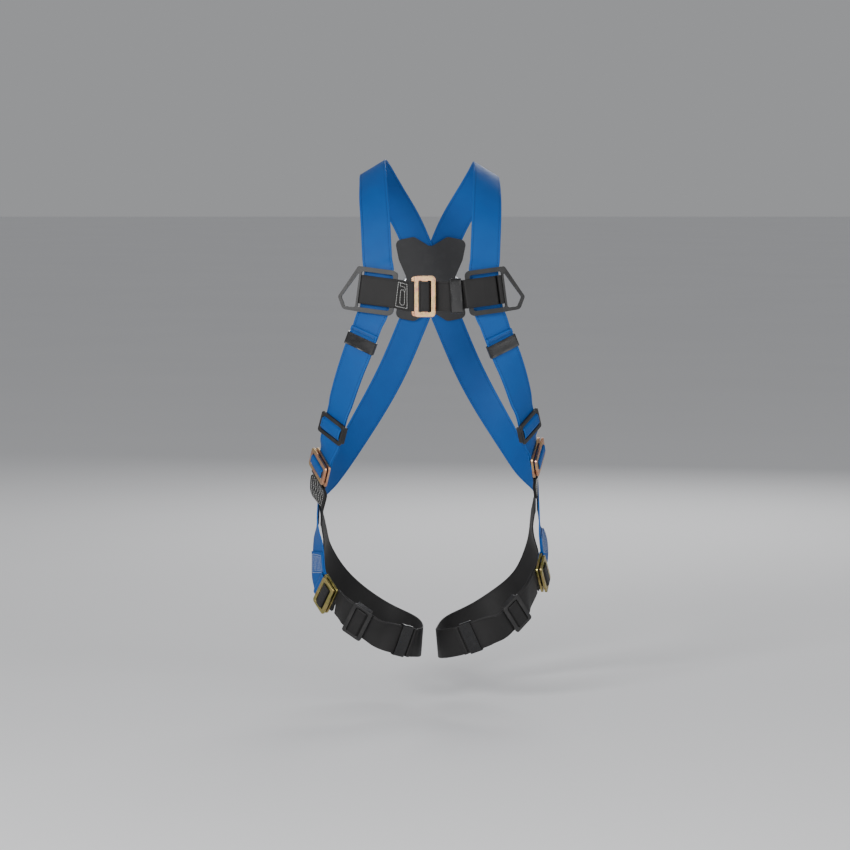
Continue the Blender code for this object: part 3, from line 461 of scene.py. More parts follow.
class Shader:
    """A node tree with short calls for the nodes that the materials here are made of."""

    def __init__(self, name, **sockets):
        self.material = bpy.data.materials.new(name)
        self.material.use_nodes = True
        self.tree = self.material.node_tree
        self.principled = self.tree.nodes["Principled BSDF"]
        for socket, value in sockets.items():
            self.principled.inputs[socket.replace("_", " ")].default_value = value

    def node(self, kind, **settings):
        made = self.tree.nodes.new(kind)
        for key, value in settings.items():
            setattr(made, key, value)
        return made

    def link(self, value, socket):
        if isinstance(value, bpy.types.NodeSocket):
            self.tree.links.new(value, socket)
        else:
            socket.default_value = value

    def math(self, operation, *values):
        made = self.node("ShaderNodeMath", operation=operation)
        for value, socket in zip(values, made.inputs):
            self.link(value, socket)
        return made.outputs[0]

    def mix(self, factor, a, b, blend="MIX"):
        made = self.node("ShaderNodeMix", data_type="RGBA", blend_type=blend)
        self.link(factor, made.inputs[0])
        for value, socket in ((a, made.inputs[6]), (b, made.inputs[7])):
            self.link((*value, 1) if isinstance(value, tuple) else value, socket)
        return made.outputs[2]

    def smooth(self, value, low, high, to_low=0.0, to_high=1.0):
        made = self.node("ShaderNodeMapRange", interpolation_type="SMOOTHSTEP")
        for item, socket in zip((value, low, high, to_low, to_high), made.inputs):
            self.link(item, socket)
        return made.outputs[0]

    def noise(self, vector, scale, detail=3.0, roughness=0.5):
        made = self.node("ShaderNodeTexNoise")
        self.link(vector, made.inputs["Vector"])
        self.link(scale, made.inputs["Scale"])
        self.link(detail, made.inputs["Detail"])
        self.link(roughness, made.inputs["Roughness"])
        return made.outputs["Fac"]

    def ramp(self, factor, stops):
        made = self.node("ShaderNodeValToRGB")
        elements = made.color_ramp.elements
        while len(elements) < len(stops):
            elements.new(0.5)
        for element, (at, colour) in zip(elements, stops):
            element.position = at
            element.color = (*colour, 1)
        self.link(factor, made.inputs[0])
        return made.outputs[0]

    def bump(self, height, depth, strength=1.0):
        made = self.node("ShaderNodeBump")
        made.inputs["Strength"].default_value = strength
        made.inputs["Distance"].default_value = depth
        self.link(height, made.inputs["Height"])
        self.tree.links.new(made.outputs[0], self.principled.inputs["Normal"])

    def done(self, colour=None, roughness=None):
        if colour is not None:
            self.link(colour, self.principled.inputs["Base Color"])
        if roughness is not None:
            self.link(roughness, self.principled.inputs["Roughness"])
        return self.material


def webbing_material(name, colour, light, twill, rib_pitch, stitch_colour):
    """Woven webbing, read from UVs in metres: u along the band and v across it from its middle."""
    shade = Shader(name, Roughness=0.6, Sheen_Weight=0.03, Sheen_Roughness=0.4)
    shade.principled.inputs["Specular IOR Level"].default_value = 0.28
    uv = shade.node("ShaderNodeUVMap", uv_map="UVMap").outputs[0]
    parts = shade.node("ShaderNodeSeparateXYZ")
    shade.link(uv, parts.inputs[0])
    u, v = parts.outputs[0], parts.outputs[1]
    across = shade.math("ABSOLUTE", v)

    def wave(value, pitch):
        turned = shade.math("MULTIPLY", value, 2 * math.pi / pitch)
        return shade.math("MULTIPLY_ADD", shade.math("SINE", turned), 0.5, 0.5)

    slant = shade.math("ADD", u, shade.math("MULTIPLY", v, twill))
    diagonal = wave(slant, 2.6 * MM)
    ribs = wave(v, rib_pitch)
    picks = wave(u, 1.0 * MM)
    weave = shade.math("ADD", shade.math("MULTIPLY", ribs, 0.55 if twill else 0.8),
                       shade.math("MULTIPLY", picks, 0.45 if twill else 0.2))
    if twill:
        weave = shade.math("ADD", shade.math("MULTIPLY", weave, 0.55), shade.math("MULTIPLY", diagonal, 0.45))
    edge = shade.smooth(across, 20.6 * MM, 21.2 * MM)
    selvedge = wave(u, 1.7 * MM)
    line = shade.math("MULTIPLY", shade.smooth(across, 18.3 * MM, 18.7 * MM),
                      shade.smooth(across, 19.1 * MM, 19.5 * MM, 1.0, 0.0))
    dash = shade.smooth(wave(u, 3.4 * MM), 0.42, 0.55)
    stitch = shade.math("MULTIPLY", line, dash)
    height = shade.math("ADD", shade.math("MULTIPLY", weave, shade.math("SUBTRACT", 1.0, edge)),
                        shade.math("MULTIPLY", selvedge, edge))
    height = shade.math("SUBTRACT", height, shade.math("MULTIPLY", stitch, 1.2))
    place = shade.node("ShaderNodeTexCoord").outputs["Object"]
    cloudy = shade.noise(place, 38.0, 4.0, 0.6)
    fibres = shade.noise(place, 1500.0, 2.0, 0.6)
    # Painted shade and highlight in the weave: the grooves are darkened to 62% of the colour and the raised
    # threads lightened to the lighter tone.
    weave_painted_shade = shade.mix(shade.smooth(weave, 0.1, 0.9), tuple(0.62 * c for c in colour), light)
    tone = shade.mix(shade.smooth(cloudy, 0.35, 0.65, 0.0, 0.35), weave_painted_shade, tuple(0.8 * c for c in colour))
    fuzz = shade.mix(shade.smooth(fibres, 0.3, 0.7, 0.0, 0.25), tone, light)
    # The band's outer edges are mixed 30% toward the lighter tone.
    lightened_tone = shade.mix(shade.math("MULTIPLY", edge, 0.3), fuzz, light)
    final = shade.mix(shade.math("MULTIPLY", stitch, 0.85), lightened_tone, stitch_colour)
    height = shade.math("ADD", height, shade.math("MULTIPLY", fibres, 0.5))
    shade.bump(height, (0.2 if twill else 0.12) * MM, 0.8)
    rough = shade.smooth(fibres, 0.2, 0.8, 0.5, 0.68)
    return shade.done(final, rough)


def plated_material(name, tones, dark):
    """Chromate plating: a hue that drifts over the metal, with fine scratches and dull spots."""
    shade = Shader(name, Metallic=1.0, Roughness=0.3)
    place = shade.node("ShaderNodeTexCoord").outputs["Object"]
    drift = shade.noise(place, 42.0, 3.0, 0.6)
    colour = shade.ramp(drift, [(0.30, tones[0]), (0.44, tones[1]), (0.56, tones[2]), (0.70, tones[3])])
    grain = shade.noise(place, 900.0, 4.0, 0.7)
    spots = shade.noise(place, 210.0, 3.0, 0.55)
    colour = shade.mix(shade.smooth(spots, 0.56, 0.72, 0.0, 0.45), colour, dark)
    shade.bump(grain, 0.05 * MM, 0.5)
    rough = shade.math("ADD", shade.smooth(spots, 0.3, 0.75, 0.2, 0.42), shade.math("MULTIPLY", grain, 0.1))
    return shade.done(colour, rough)


def coated_material(name, colour, roughness, lightened_tone, grain_scale, depth):
    """Black coating or plastic with a fine grain, faint dust and lighter rubbed spots."""
    shade = Shader(name, Roughness=roughness)
    shade.principled.inputs["Specular IOR Level"].default_value = 0.5
    place = shade.node("ShaderNodeTexCoord").outputs["Object"]
    grain = shade.noise(place, grain_scale, 3.0, 0.6)
    cloud = shade.noise(place, 60.0, 4.0, 0.6)
    tone = shade.mix(shade.smooth(cloud, 0.45, 0.7, 0.0, 0.6), colour, lightened_tone)
    tone = shade.mix(shade.smooth(grain, 0.55, 0.8, 0.0, 0.5), tone, lightened_tone)
    shade.bump(grain, depth, 0.6)
    rough = shade.math("ADD", shade.smooth(cloud, 0.3, 0.7, roughness - 0.06, roughness + 0.08),
                       shade.math("MULTIPLY", grain, 0.05))
    return shade.done(tone, rough)


def thread_material(name, colour):
    shade = Shader(name, Roughness=0.55, Sheen_Weight=0.2)
    place = shade.node("ShaderNodeTexCoord").outputs["Object"]
    fuzz = shade.noise(place, 2500.0, 2.0, 0.6)
    tone = shade.mix(shade.smooth(fuzz, 0.3, 0.7), tuple(0.72 * c for c in colour), colour)
    shade.bump(fuzz, 0.1 * MM, 0.7)
    return shade.done(tone, shade.smooth(fuzz, 0.2, 0.8, 0.45, 0.7))


BLUE = webbing_material("blue_twill", (0.0, 0.064, 0.295), (0.0, 0.1, 0.39), 1.15, 1.5 * MM,
                        (0.0, 0.008, 0.045))
BLACK = webbing_material("black_ribbed", (0.0085, 0.008, 0.008), (0.022, 0.021, 0.021), 0.0, 1.05 * MM,
                         (0.004, 0.004, 0.004))
COPPER = plated_material("copper_chromate", [(0.60, 0.26, 0.15), (0.76, 0.42, 0.25), (0.62, 0.44, 0.20),
                                             (0.60, 0.25, 0.24)], (0.22, 0.11, 0.07))
OLIVE = plated_material("olive_chromate", [(0.27, 0.20, 0.06), (0.42, 0.33, 0.12), (0.30, 0.28, 0.08),
                                           (0.50, 0.25, 0.20)], (0.13, 0.10, 0.03))
STEEL = plated_material("zinc_steel", [(0.55, 0.56, 0.58), (0.66, 0.67, 0.69), (0.58, 0.60, 0.63),
                                       (0.62, 0.62, 0.62)], (0.35, 0.36, 0.38))
COATED = coated_material("black_coating", (0.009, 0.009, 0.0095), 0.38, (0.022, 0.021, 0.020), 700.0,
                         0.06 * MM)
SLIDE_BLACK = coated_material("slide_coating", (0.011, 0.0105, 0.0105), 0.38, (0.030, 0.028, 0.027), 600.0,
                              0.05 * MM)
SOFT_BLACK = coated_material("soft_plastic", (0.006, 0.006, 0.0065), 0.26, (0.018, 0.017, 0.018), 260.0,
                             0.08 * MM)
MATTE_BLACK = coated_material("moulded_plastic", (0.015, 0.015, 0.016), 0.55, (0.032, 0.032, 0.033), 1300.0,
                              0.12 * MM)
WHITE_THREAD = thread_material("white_thread", (0.72, 0.72, 0.70))
BLACK_THREAD = thread_material("black_thread", (0.02, 0.02, 0.02))


# ---------------------------------------------------------------- building pieces

def new_object(name, mesh, material):
    mesh.materials.append(material)
    mesh.polygons.foreach_set("use_smooth", [True] * len(mesh.polygons))
    obj = bpy.data.objects.new(name, mesh)
    bpy.context.scene.collection.objects.link(obj)
    return obj


def plate(name, bm, material, matrix, bevel=0.0, segments=3, angle=35):
    """A finished object from a bmesh in a place's own axes, with its rims rounded."""
    bmesh.ops.recalc_face_normals(bm, faces=bm.faces[:])
    bmesh.ops.transform(bm, matrix=matrix, verts=bm.verts[:])
    mesh = bpy.data.meshes.new(name)
    bm.to_mesh(mesh)
    bm.free()
    obj = new_object(name, mesh, material)
    if bevel:
        modifier = obj.modifiers.new("rounded_rim", "BEVEL")
        modifier.width = bevel
        modifier.segments = segments
        modifier.limit_method = "ANGLE"
        modifier.angle_limit = math.radians(angle)
        modifier.harden_normals = True
    return obj


# Webbing section, one side of one face: distance in from the edge, and height over half the thickness.
EDGE_SHAPE = [(0.9, 0.96), (2.2, 1.03), (3.3, 0.98), (3.8, 0.86), (4.3, 0.86), (4.8, 0.98), (6.0, 1.02),
              (12.0, 1.0)]


def section(half):
    """Closed outline of webbing in (across, out), with rounded edges and a groove for each stitch line."""
    side = [((half - inward * MM), rise * WEB_THICK / 2) for inward, rise in EDGE_SHAPE]
    top = side + [(0.0, WEB_THICK / 2)] + [(-w, n) for w, n in reversed(side)]
    edge = [(half - 0.22 * MM, 0.62 * MM), (half, 0.0), (half - 0.22 * MM, -0.62 * MM)]
    bottom = [(w, -n) for w, n in reversed(top)]
    return top + [(-w, n) for w, n in edge] + bottom + [(w, n) for w, n in reversed(edge)]


def band(name, rows, material, closed=False, mirrored=False):
    """Webbing swept through rows of centre, across and width, with UVs in metres."""
    centres = np.array([row[0] for row in rows], float)
    across = np.array([row[1] for row in rows], float)
    across /= np.linalg.norm(across, axis=1)[:, None]
    count = len(rows)
    if closed:
        tangents = np.roll(centres, -1, 0) - np.roll(centres, 1, 0)
    else:
        tangents = np.gradient(centres, axis=0)
    tangents /= np.linalg.norm(tangents, axis=1)[:, None]
    outs = np.cross(tangents, across)
    outs /= np.linalg.norm(outs, axis=1)[:, None]
    verts, uv_rows = [], []
    distance = travelled(centres)
    for i in range(count):
        ring = section(rows[i][2] / 2)
        for w, n in ring:
            verts.append(centres[i] + across[i] * w + outs[i] * n)
        uv_rows.append([(distance[i], -w if mirrored else w) for w, n in ring])
    size = len(uv_rows[0])
    faces, uvs = [], []
    for i in range(count if closed else count - 1):
        j = (i + 1) % count
        step = 0 if j else distance[-1] + np.linalg.norm(centres[0] - centres[-1])
        for k in range(size):
            m = (k + 1) % size
            faces.append((i * size + k, j * size + k, j * size + m, i * size + m))
            ahead = [(uv_rows[j][index][0] + step, uv_rows[j][index][1]) for index in (k, m)]
            uvs += [uv_rows[i][k], ahead[0], ahead[1], uv_rows[i][m]]
    if not closed:
        for i, flip in ((0, True), (count - 1, False)):
            cap = list(range(i * size, (i + 1) * size))
            loop = cap if flip else cap[::-1]
            faces.append(tuple(loop))
            uvs += [uv_rows[i][index - i * size] for index in loop]
    mesh = bpy.data.meshes.new(name)
    mesh.from_pydata([tuple(v) for v in verts], [], faces)
    layer_uv = mesh.uv_layers.new(name="UVMap")
    layer_uv.data.foreach_set("uv", [float(x) for pair in uvs for x in pair])
    bm = bmesh.new()
    bm.from_mesh(mesh)
    bmesh.ops.recalc_face_normals(bm, faces=bm.faces[:])
    bm.to_mesh(mesh)
    bm.free()
    return new_object(name, mesh, material)


def route_rows(route, start, stop, lift=0.0, step=3 * MM, width=WEB_WIDTH):
    """Rows of one layer along a route, forwards or backwards."""
    count = max(2, int(abs(stop - start) / step) + 1)
    rows = []
    for distance in np.linspace(start, stop, count):
        height = lift(distance) if callable(lift) else lift
        here = route.place(float(distance)).moved(n=height)
        rows.append((here.origin, here.w, width))
    return rows


def corner_rows(corners, radius=TURN_RADIUS, steps=6, spacing=4 * MM):
    """Rows through corners of x, y, z, across and width, with turns rounded and long runs divided."""
    rough = filleted(corners, radius, steps)
    rows = [rough[0]]
    for here in rough[1:]:
        parts = max(1, int(np.linalg.norm(here[:3] - rows[-1][:3]) / spacing))
        last = rows[-1]
        for part in range(1, parts + 1):
            rows.append(last + (here - last) * part / parts)
    return [(Vector(row[:3]), Vector(row[3:6]), float(row[6])) for row in rows]


def softened(route, sigma=SOFTENING):
    """The same route with its changes of direction and twist spread out, as webbing spreads them."""
    soft = Route.__new__(Route)
    soft.__dict__.update(route.__dict__)
    from_end = np.minimum(route.arc - route.arc[0], route.arc[-1] - route.arc)
    reach = np.clip(from_end / 3, 0.05 * MM, sigma)
    weight = np.exp(-0.5 * ((route.arc[:, None] - route.arc[None, :]) / reach[:, None]) ** 2)
    soft.rows = weight @ route.rows / weight.sum(1)[:, None]
    return soft


def twisted(route, start, stop, degrees, aside=0.0):
    """Twist a stretch of a route, and move it along x: most in the middle, and nothing at its ends."""
    share = np.clip((route.arc - start) / (stop - start), 0, 1)
    inside = np.nonzero((share > 0) & (share < 1))[0]
    places = [route.place(float(route.arc[index])) for index in inside]
    for index, here in zip(inside, places):
        most = math.sin(math.pi * share[index]) ** 2
        angle = math.radians(degrees) * most
        route.rows[index, 3:6] = here.n * math.cos(angle) + here.s.cross(here.n) * math.sin(angle)
        route.rows[index, 0] += aside * most
    return route


def corner(place, s, n, flip=1, width=WEB_WIDTH):
    """One corner for corner_rows, in a place's own axes."""
    return (*place.point(s, 0, n), *(flip * place.w), width)


def stitch_mesh(name, runs, material, pitch=3.0 * MM, radius=0.3 * MM):
    """Sewn thread: each run is a list of (point, out) on the webbing's face, dashed at the pitch."""
    bm = bmesh.new()
    for run in runs:
        points = np.array([tuple(p) for p, out in run])
        outs = np.array([tuple(out) for p, out in run])
        arc = travelled(points)
        count = max(1, round(arc[-1] / pitch))
        for index in range(count):
            first = arc[-1] * (index + 0.12) / count
            last = arc[-1] * (index + 0.88) / count
            rings = []
            for share, thick in ((0.0, 0.35), (0.2, 0.9), (0.5, 1.0), (0.8, 0.9), (1.0, 0.35)):
                at = first + (last - first) * share
                here = np.array([np.interp(at, arc, c) for c in points.T])
                out = np.array([np.interp(at, arc, c) for c in outs.T])
                ahead = np.array([np.interp(min(at + 0.2 * MM, arc[-1]), arc, c) for c in points.T])
                behind = np.array([np.interp(max(at - 0.2 * MM, 0), arc, c) for c in points.T])
                along = (ahead - behind) / max(np.linalg.norm(ahead - behind), 1e-9)
                side = np.cross(along, out)
                rise = radius * (0.15 + 0.5 * math.sin(math.pi * share))
                ring = []
                for k in range(5):
                    angle = 2 * math.pi * k / 5
                    offset = side * math.cos(angle) + out * math.sin(angle)
                    ring.append(bm.verts.new(here + offset * radius * thick + out * rise))
                rings.append(ring)
            for a, b in zip(rings, rings[1:]):
                wall(bm, a, b)
            bm.faces.new(rings[0])
            bm.faces.new(rings[-1])
    bmesh.ops.recalc_face_normals(bm, faces=bm.faces[:])
    mesh = bpy.data.meshes.new(name)
    bm.to_mesh(mesh)
    bm.free()
    return new_object(name, mesh, material)


def on_route(route, origin, height, path, step=1.5 * MM):
    """A run over webbing on a route: path holds (distance from origin, w) in millimetres."""
    run = []
    for (s0, w0), (s1, w1) in zip(path, path[1:]):
        parts = max(1, int(math.dist((s0, w0), (s1, w1)) * MM / step))
        for part in range(parts + 1):
            t = part / parts
            distance = origin + (s0 + (s1 - s0) * t) * MM
            lift = height(distance) if callable(height) else height
            here = route.place(distance)
            run.append((here.point(0, (w0 + (w1 - w0) * t) * MM, lift), here.n))
    return run


class Surface:
    """The outer face of a finished band, read by distance along it and across it."""

    def __init__(self, rows, face=1):
        self.centres = np.array([row[0] for row in rows], float)
        self.across = np.array([row[1] for row in rows], float)
        self.across /= np.linalg.norm(self.across, axis=1)[:, None]
        tangents = np.gradient(self.centres, axis=0)
        outs = np.cross(tangents, self.across) * face
        self.outs = outs / np.linalg.norm(outs, axis=1)[:, None]
        self.arc = travelled(self.centres)

    def nearest(self, point, after=0.0):
        away = np.linalg.norm(self.centres - np.array(point), axis=1)
        away[self.arc < after] = np.inf
        return float(self.arc[int(np.argmin(away))])

    def run(self, origin, path, step=1.5 * MM):
        """A run through (distance from origin, across), in millimetres."""
        result = []
        for (s0, w0), (s1, w1) in zip(path, path[1:]):
            parts = max(1, int(math.dist((s0, w0), (s1, w1)) * MM / step))
            for t in np.linspace(0, 1, parts + 1):
                at = origin + (s0 + (s1 - s0) * t) * MM
                read = [np.array([np.interp(at, self.arc, c) for c in table.T])
                        for table in (self.centres, self.across, self.outs)]
                side = (w0 + (w1 - w0) * t) * MM
                lift = WEB_THICK / 2 + 0.08 * MM
                result.append((Vector(read[0] + read[1] * side + read[2] * lift), Vector(read[2])))
        return result


# ---------------------------------------------------------------- hardware

def buckle(prefix, place, root, moving, material):
    """Female frame on one body, and the male plate that lies over it on another."""
    ring = slab(rectangle(FEMALE_LENGTH, FEMALE_DEPTH, BUCKLE_CORNER, FEMALE_SHIFT, 5),
                [rectangle(*FEMALE_WINDOW, 1.6 * MM, FEMALE_SHIFT, 4)], FEMALE_BASE,
                FEMALE_BASE + BUCKLE_THICK)
    obj = plate(f"{prefix}_female_plate", ring, material, place.matrix(), 0.75 * MM)
    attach(obj, root)
    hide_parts(f"{prefix}_buckle_female")
    slot_depth = (MALE_WINDOW[1] - MALE_BAR) / 2
    slot_at = (MALE_BAR + slot_depth) / 2
    slots = [rectangle(MALE_WINDOW[0], slot_depth, 1.6 * MM, side * slot_at, 4) for side in (-1, 1)]
    body = slab(rectangle(MALE_LENGTH, MALE_DEPTH, BUCKLE_CORNER, 0, 5), slots, MALE_BASE,
                MALE_BASE + BUCKLE_THICK)
    obj = plate(f"{prefix}_male_plate", body, material, place.matrix(), 0.8 * MM)
    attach(obj, moving)
    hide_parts(f"{prefix}_buckle_male")


def slide(prefix, place, body, webbing):
    """Pressed adjuster with a raised rim, a bar and ends that wrap the webbing, and its hump."""
    outline = rectangle(SLIDE_LENGTH, SLIDE_DEPTH, 4 * MM, 0, 5)
    rim = slab(outline, [rectangle(*SLIDE_WINDOW, 2.5 * MM, 0, 4)], SLIDE_BASE, SLIDE_BASE + SLIDE_THICK)
    obj = plate(f"{prefix}_slide_rim", rim, SLIDE_BLACK, place.matrix(), 0.8 * MM)
    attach(obj, body)
    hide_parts(f"{prefix}_adjuster")
    extra = bmesh.new()
    half = SLIDE_WINDOW[0] / 2
    for sign in (-1, 1):
        w = sorted((sign * (half + LUG_INSET), sign * (SLIDE_LENGTH / 2 + LUG_PROUD)))
        lug = rounded(box(-LUG_REACH, LUG_REACH, *w), 2 * MM, 4)
        join(extra, slab(lug, [], -WEB_THICK / 2 + 0.2 * MM, SLIDE_BASE + LUG_HEIGHT))
    bar = box(-SLIDE_BAR / 2, SLIDE_BAR / 2, -half - 1 * MM, half + 1 * MM)
    join(extra, slab(bar, [], SLIDE_BASE + 0.4 * MM, SLIDE_BASE + SLIDE_BAR_THICK))
    obj = plate(f"{prefix}_slide_ends", extra, SLIDE_BLACK, place.matrix(), 0.7 * MM, 3)
    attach(obj, body)
    low = SLIDE_BASE + WEB_THICK / 2 + 0.2 * MM
    high = SLIDE_BASE + SLIDE_BAR_THICK + GAP + WEB_THICK / 2 + 0.9 * MM
    end = SLIDE_WINDOW[1] / 2 - 0.4 * MM
    profile = [(-end, low), (-HUMP_FOOT, low), (-HUMP_CREST, high), (HUMP_CREST, high), (HUMP_FOOT, low),
               (end, low)]
    rows = corner_rows([corner(place, s, n, 1, HUMP_WIDTH) for s, n in profile], 3.6 * MM, 8, 1.2 * MM)
    obj = band(f"{prefix}_slide_hump", rows, webbing)
    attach(obj, body)
    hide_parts(f"{prefix}_adjuster_webbing")


def wall(bm, a, b):
    """Faces between two rings of vertices."""
    for k in range(len(a)):
        after = (k + 1) % len(a)
        bm.faces.new((a[k], a[after], b[after], b[k]))


def join(target, source):
    """Move everything in one bmesh into another."""
    mesh = bpy.data.meshes.new("joined")
    source.to_mesh(mesh)
    source.free()
    target.from_mesh(mesh)
    bpy.data.meshes.remove(mesh)


def keeper(name, place, top, body, length=KEEPER_LENGTH, width=WEB_WIDTH, flare=0.9 * MM):
    """Soft moulded band round the layers of webbing, with rolled lips and slightly crowned faces."""
    low = -WEB_THICK / 2 - KEEPER_PLAY
    high = top + KEEPER_PLAY
    half = width / 2 + 2 * GAP
    steps, around = 12, 6
    inner = rounded(box(-half, half, low, high), 0.9 * MM, around)
    outer = rounded(box(-half - KEEPER_WALL, half + KEEPER_WALL, low - KEEPER_WALL, high + KEEPER_WALL),
                    2.4 * MM, around)

    def dense(loop):
        result = []
        for a, b in zip(loop, loop[1:] + loop[:1]):
            parts = max(1, int((b - a).length / (3 * MM)))
            result += [a + (b - a) * k / parts for k in range(parts)]
        return result

    rings = []
    inner, outer = dense(inner), dense(outer)
    for step in range(steps + 1):
        t = step / steps * 2 - 1
        lip = flare * max(0.0, abs(t) - LIP_FROM) / (1 - LIP_FROM)
        s = length / 2 * t
        ring = []
        for p in outer:
            crown = KEEPER_CROWN * (1 - t * t) * (1 - min(1.0, abs(p[0]) / half) ** 2)
            ripple = KEEPER_RIPPLE * math.sin(p[0] / half * 5.0 + 1.0)
            sign = 1 if p[1] > (low + high) / 2 else -1
            edge = 0.0 if abs(p[0]) > half else 1.0
            raised = crown + 0.45 * lip + (ripple if abs(t) > 0.9 else 0)
            ring.append((s, p[0], p[1] + sign * edge * raised))
        rings.append(ring)
    bm = bmesh.new()
    outer_verts = [[bm.verts.new(p) for p in ring] for ring in rings]
    inner_verts = [[bm.verts.new((s * length / 2, p[0], p[1])) for p in inner] for s in (-1, 1)]
    for a, b in zip(outer_verts, outer_verts[1:]):
        wall(bm, a, b)
    a, b = inner_verts
    for k in range(len(a)):
        bm.faces.new((a[k], b[k], b[(k + 1) % len(a)], a[(k + 1) % len(a)]))
    for outer_loop, inner_loop in ((outer_verts[0], a), (outer_verts[-1], b)):
        edges = [bm.edges.get((loop[k], loop[(k + 1) % len(loop)]))
                 for loop in (outer_loop, inner_loop) for k in range(len(loop))]
        bmesh.ops.triangle_fill(bm, use_beauty=True, use_dissolve=False, edges=edges)
    obj = plate(f"{name}_band", bm, SOFT_BLACK, place.matrix(), 0.35 * MM, 2, 50)
    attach(obj, body)
    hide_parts(name)
    return obj


def chest_frame(side, place):
    """Window frame with a triangular eye, round in section, with fine ridges on the eye's outer bar."""
    out = SIDE_SIGN[side] * (1 if place.w.x > 0 else -1)
    u, v = FRAME_WINDOW[0] / 2, FRAME_WINDOW[1] / 2
    top = v + FRAME_TOP_BAR
    centre = -u - FRAME_CENTRE_BAR
    shoulder, tip = (31.5 * MM, top), (56.5 * MM, -15 * MM)
    outline = [(centre, top, 8 * MM), (*shoulder, 4 * MM), (*tip, 5 * MM), (47 * MM, -top + 1 * MM, 8 * MM),
               (20 * MM, -top, 20 * MM), (centre, -top, 8 * MM)]
    window = [(-u, v), (FRAME_OUTER_SIDE, v), (FRAME_OUTER_SIDE, -v), (-u, -v)]
    bar = FRAME_OUTER_SIDE + FRAME_EYE_BAR
    eye = [(bar, 26 * MM, 1.2 * MM), (51.2 * MM, -15 * MM), (43.5 * MM, -28 * MM), (bar, -28 * MM)]

    def local(points):
        return [(-b, out * a) for a, b in points]

    bm = slab(local(rounded(outline, 5 * MM, 7)),
              [local(rounded(window, 3 * MM, 5)), local(rounded(eye, 3 * MM, 5))],
              FRAME_BASE, FRAME_BASE + FRAME_THICK)
    obj = plate(f"chest_frame_{side}_bars", bm, COATED, place.matrix(), 1.5 * MM, 4)
    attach(obj, "harness")
    first, last = Vector(shoulder), Vector(tip)
    along = (last - first).normalized()
    inward = Vector((along.y, -along.x))
    if inward.dot(-first - last) <= 0:
        inward.negate()
    ridges = bmesh.new()
    face = FRAME_BASE + FRAME_THICK
    for index in range(RIDGES):
        middle = first + along * (RIDGE_START + index * RIDGE_PITCH) + inward * 2.6 * MM
        corners = [middle + along * a + inward * b
                   for a, b in box(-RIDGE_HALF[0], RIDGE_HALF[0], -RIDGE_HALF[1], RIDGE_HALF[1])]
        ridge = rounded(local(corners), 0.25 * MM, 2)
        join(ridges, slab(ridge, [], face - RIDGE_HEIGHT, face + RIDGE_HEIGHT))
    obj = plate(f"chest_frame_{side}_ridges", ridges, COATED, place.matrix(), 0.15 * MM, 2)
    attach(obj, "harness")
    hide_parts(f"chest_frame_{side}")
    return out


def chest_webbing(side, frame_place, out, buckle_place):
    """Half of the chest strap: from its half of the buckle, round the shoulder strap and centre bar."""
    behind = -LAYER
    front = FRAME_BASE + FRAME_THICK + GAP + WEB_THICK / 2
    eye_side = FRAME_OUTER_SIDE - 1.3 * GAP - WEB_THICK / 2
    centre_side = FRAME_WINDOW[0] / 2 + FRAME_CENTRE_BAR

    def at_frame(u, n):
        return (*frame_place.point(0, out * u, n), *(-frame_place.s), CHEST_WEB_IN_FRAME)

    turn_back = [at_frame(-centre_side - 3.5 * MM, behind), at_frame(eye_side, behind),
                 at_frame(eye_side, front), at_frame(-centre_side - 1.5 * MM, front)]
    if side == "right":
        above = FEMALE_SHIFT + FEMALE_DEPTH / 2 + 9 * MM
        path = [at_frame(-centre_side - 8 * MM, behind), *turn_back,
                *female_turn(buckle_place, above, 30 * MM, -1, 3 * MM)]
        rows = corner_rows(path)
        obj = band("chest_strap_right_band", rows, BLACK)
        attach(obj, "harness")
        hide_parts("chest_strap_right")
        face = Surface(rows)
        start = face.nearest(frame_place.point(0, -out * (centre_side + 2 * MM), front), 0.06)
        obj = stitch_mesh("chest_box_stitches", chest_box(face, start), WHITE_THREAD,
                          2.4 * MM, 0.4 * MM)
        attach(obj, "harness")
        return
    turn = chest_turn(frame_place, out, buckle_place)
    reach = CHEST_KEEPER_LENGTH / 2 + CHEST_KEEPER_ROOM
    first = CHEST_KEEPER_AT + reach + 8 * MM
    around = [corner(buckle_place, -s, n, -1, ROLL_ACROSS) for s, n in roll_profile()]
    path = ([corner(turn, -reach, LAYER, -1), corner(turn, reach, LAYER, -1),
             corner(buckle_place, first, LAYER, -1), corner(buckle_place, -20 * MM, LAYER, -1)]
            + around[::-1]
            + [corner(buckle_place, -20 * MM, 0, -1), corner(buckle_place, first, 0, -1),
               corner(turn, reach, 0, -1), corner(turn, -reach, 0, -1), *turn_back[:3],
               at_frame(19.2 * MM, front), at_frame(17.0 * MM, LAYER + 0.4 * MM),
               at_frame(-centre_side + 3 * MM, LAYER + 0.4 * MM)])
    chest_flap(frame_place, out, front)
    obj = band("chest_strap_left_band", corner_rows(path), BLACK)
    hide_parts("chest_strap_left", "chest_buckle_webbing")
    hinge = -MALE_DEPTH / 2
    tuple(buckle_place.point(hinge - 10 * MM, 0, 0))
    tuple(buckle_place.point(hinge + 3 * MM, 0, 0))
    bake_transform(obj)


def chest_flap(frame_place, out, front):
    """Tail of the chest strap that lies over the left frame, and dips into its window at its end."""
    bar = FRAME_WINDOW[0] / 2 + FRAME_CENTRE_BAR + GAP + WEB_THICK / 2 + LAYER
    over = front + LAYER
    end = 14.2 * MM
    profile = [(-bar, front - 8 * MM), (-bar, over - 0.6 * MM), (-5 * MM, over + 0.8 * MM),
               (end, over), (end + 1 * MM, front - 4 * MM)]
    path = [(*frame_place.point(0, out * u, n), *(-frame_place.s), CHEST_WEB_IN_FRAME) for u, n in profile]
    obj = band("chest_strap_left_flap", corner_rows(path, 2.3 * MM, 8, 2 * MM), BLACK)
    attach(obj, "harness")


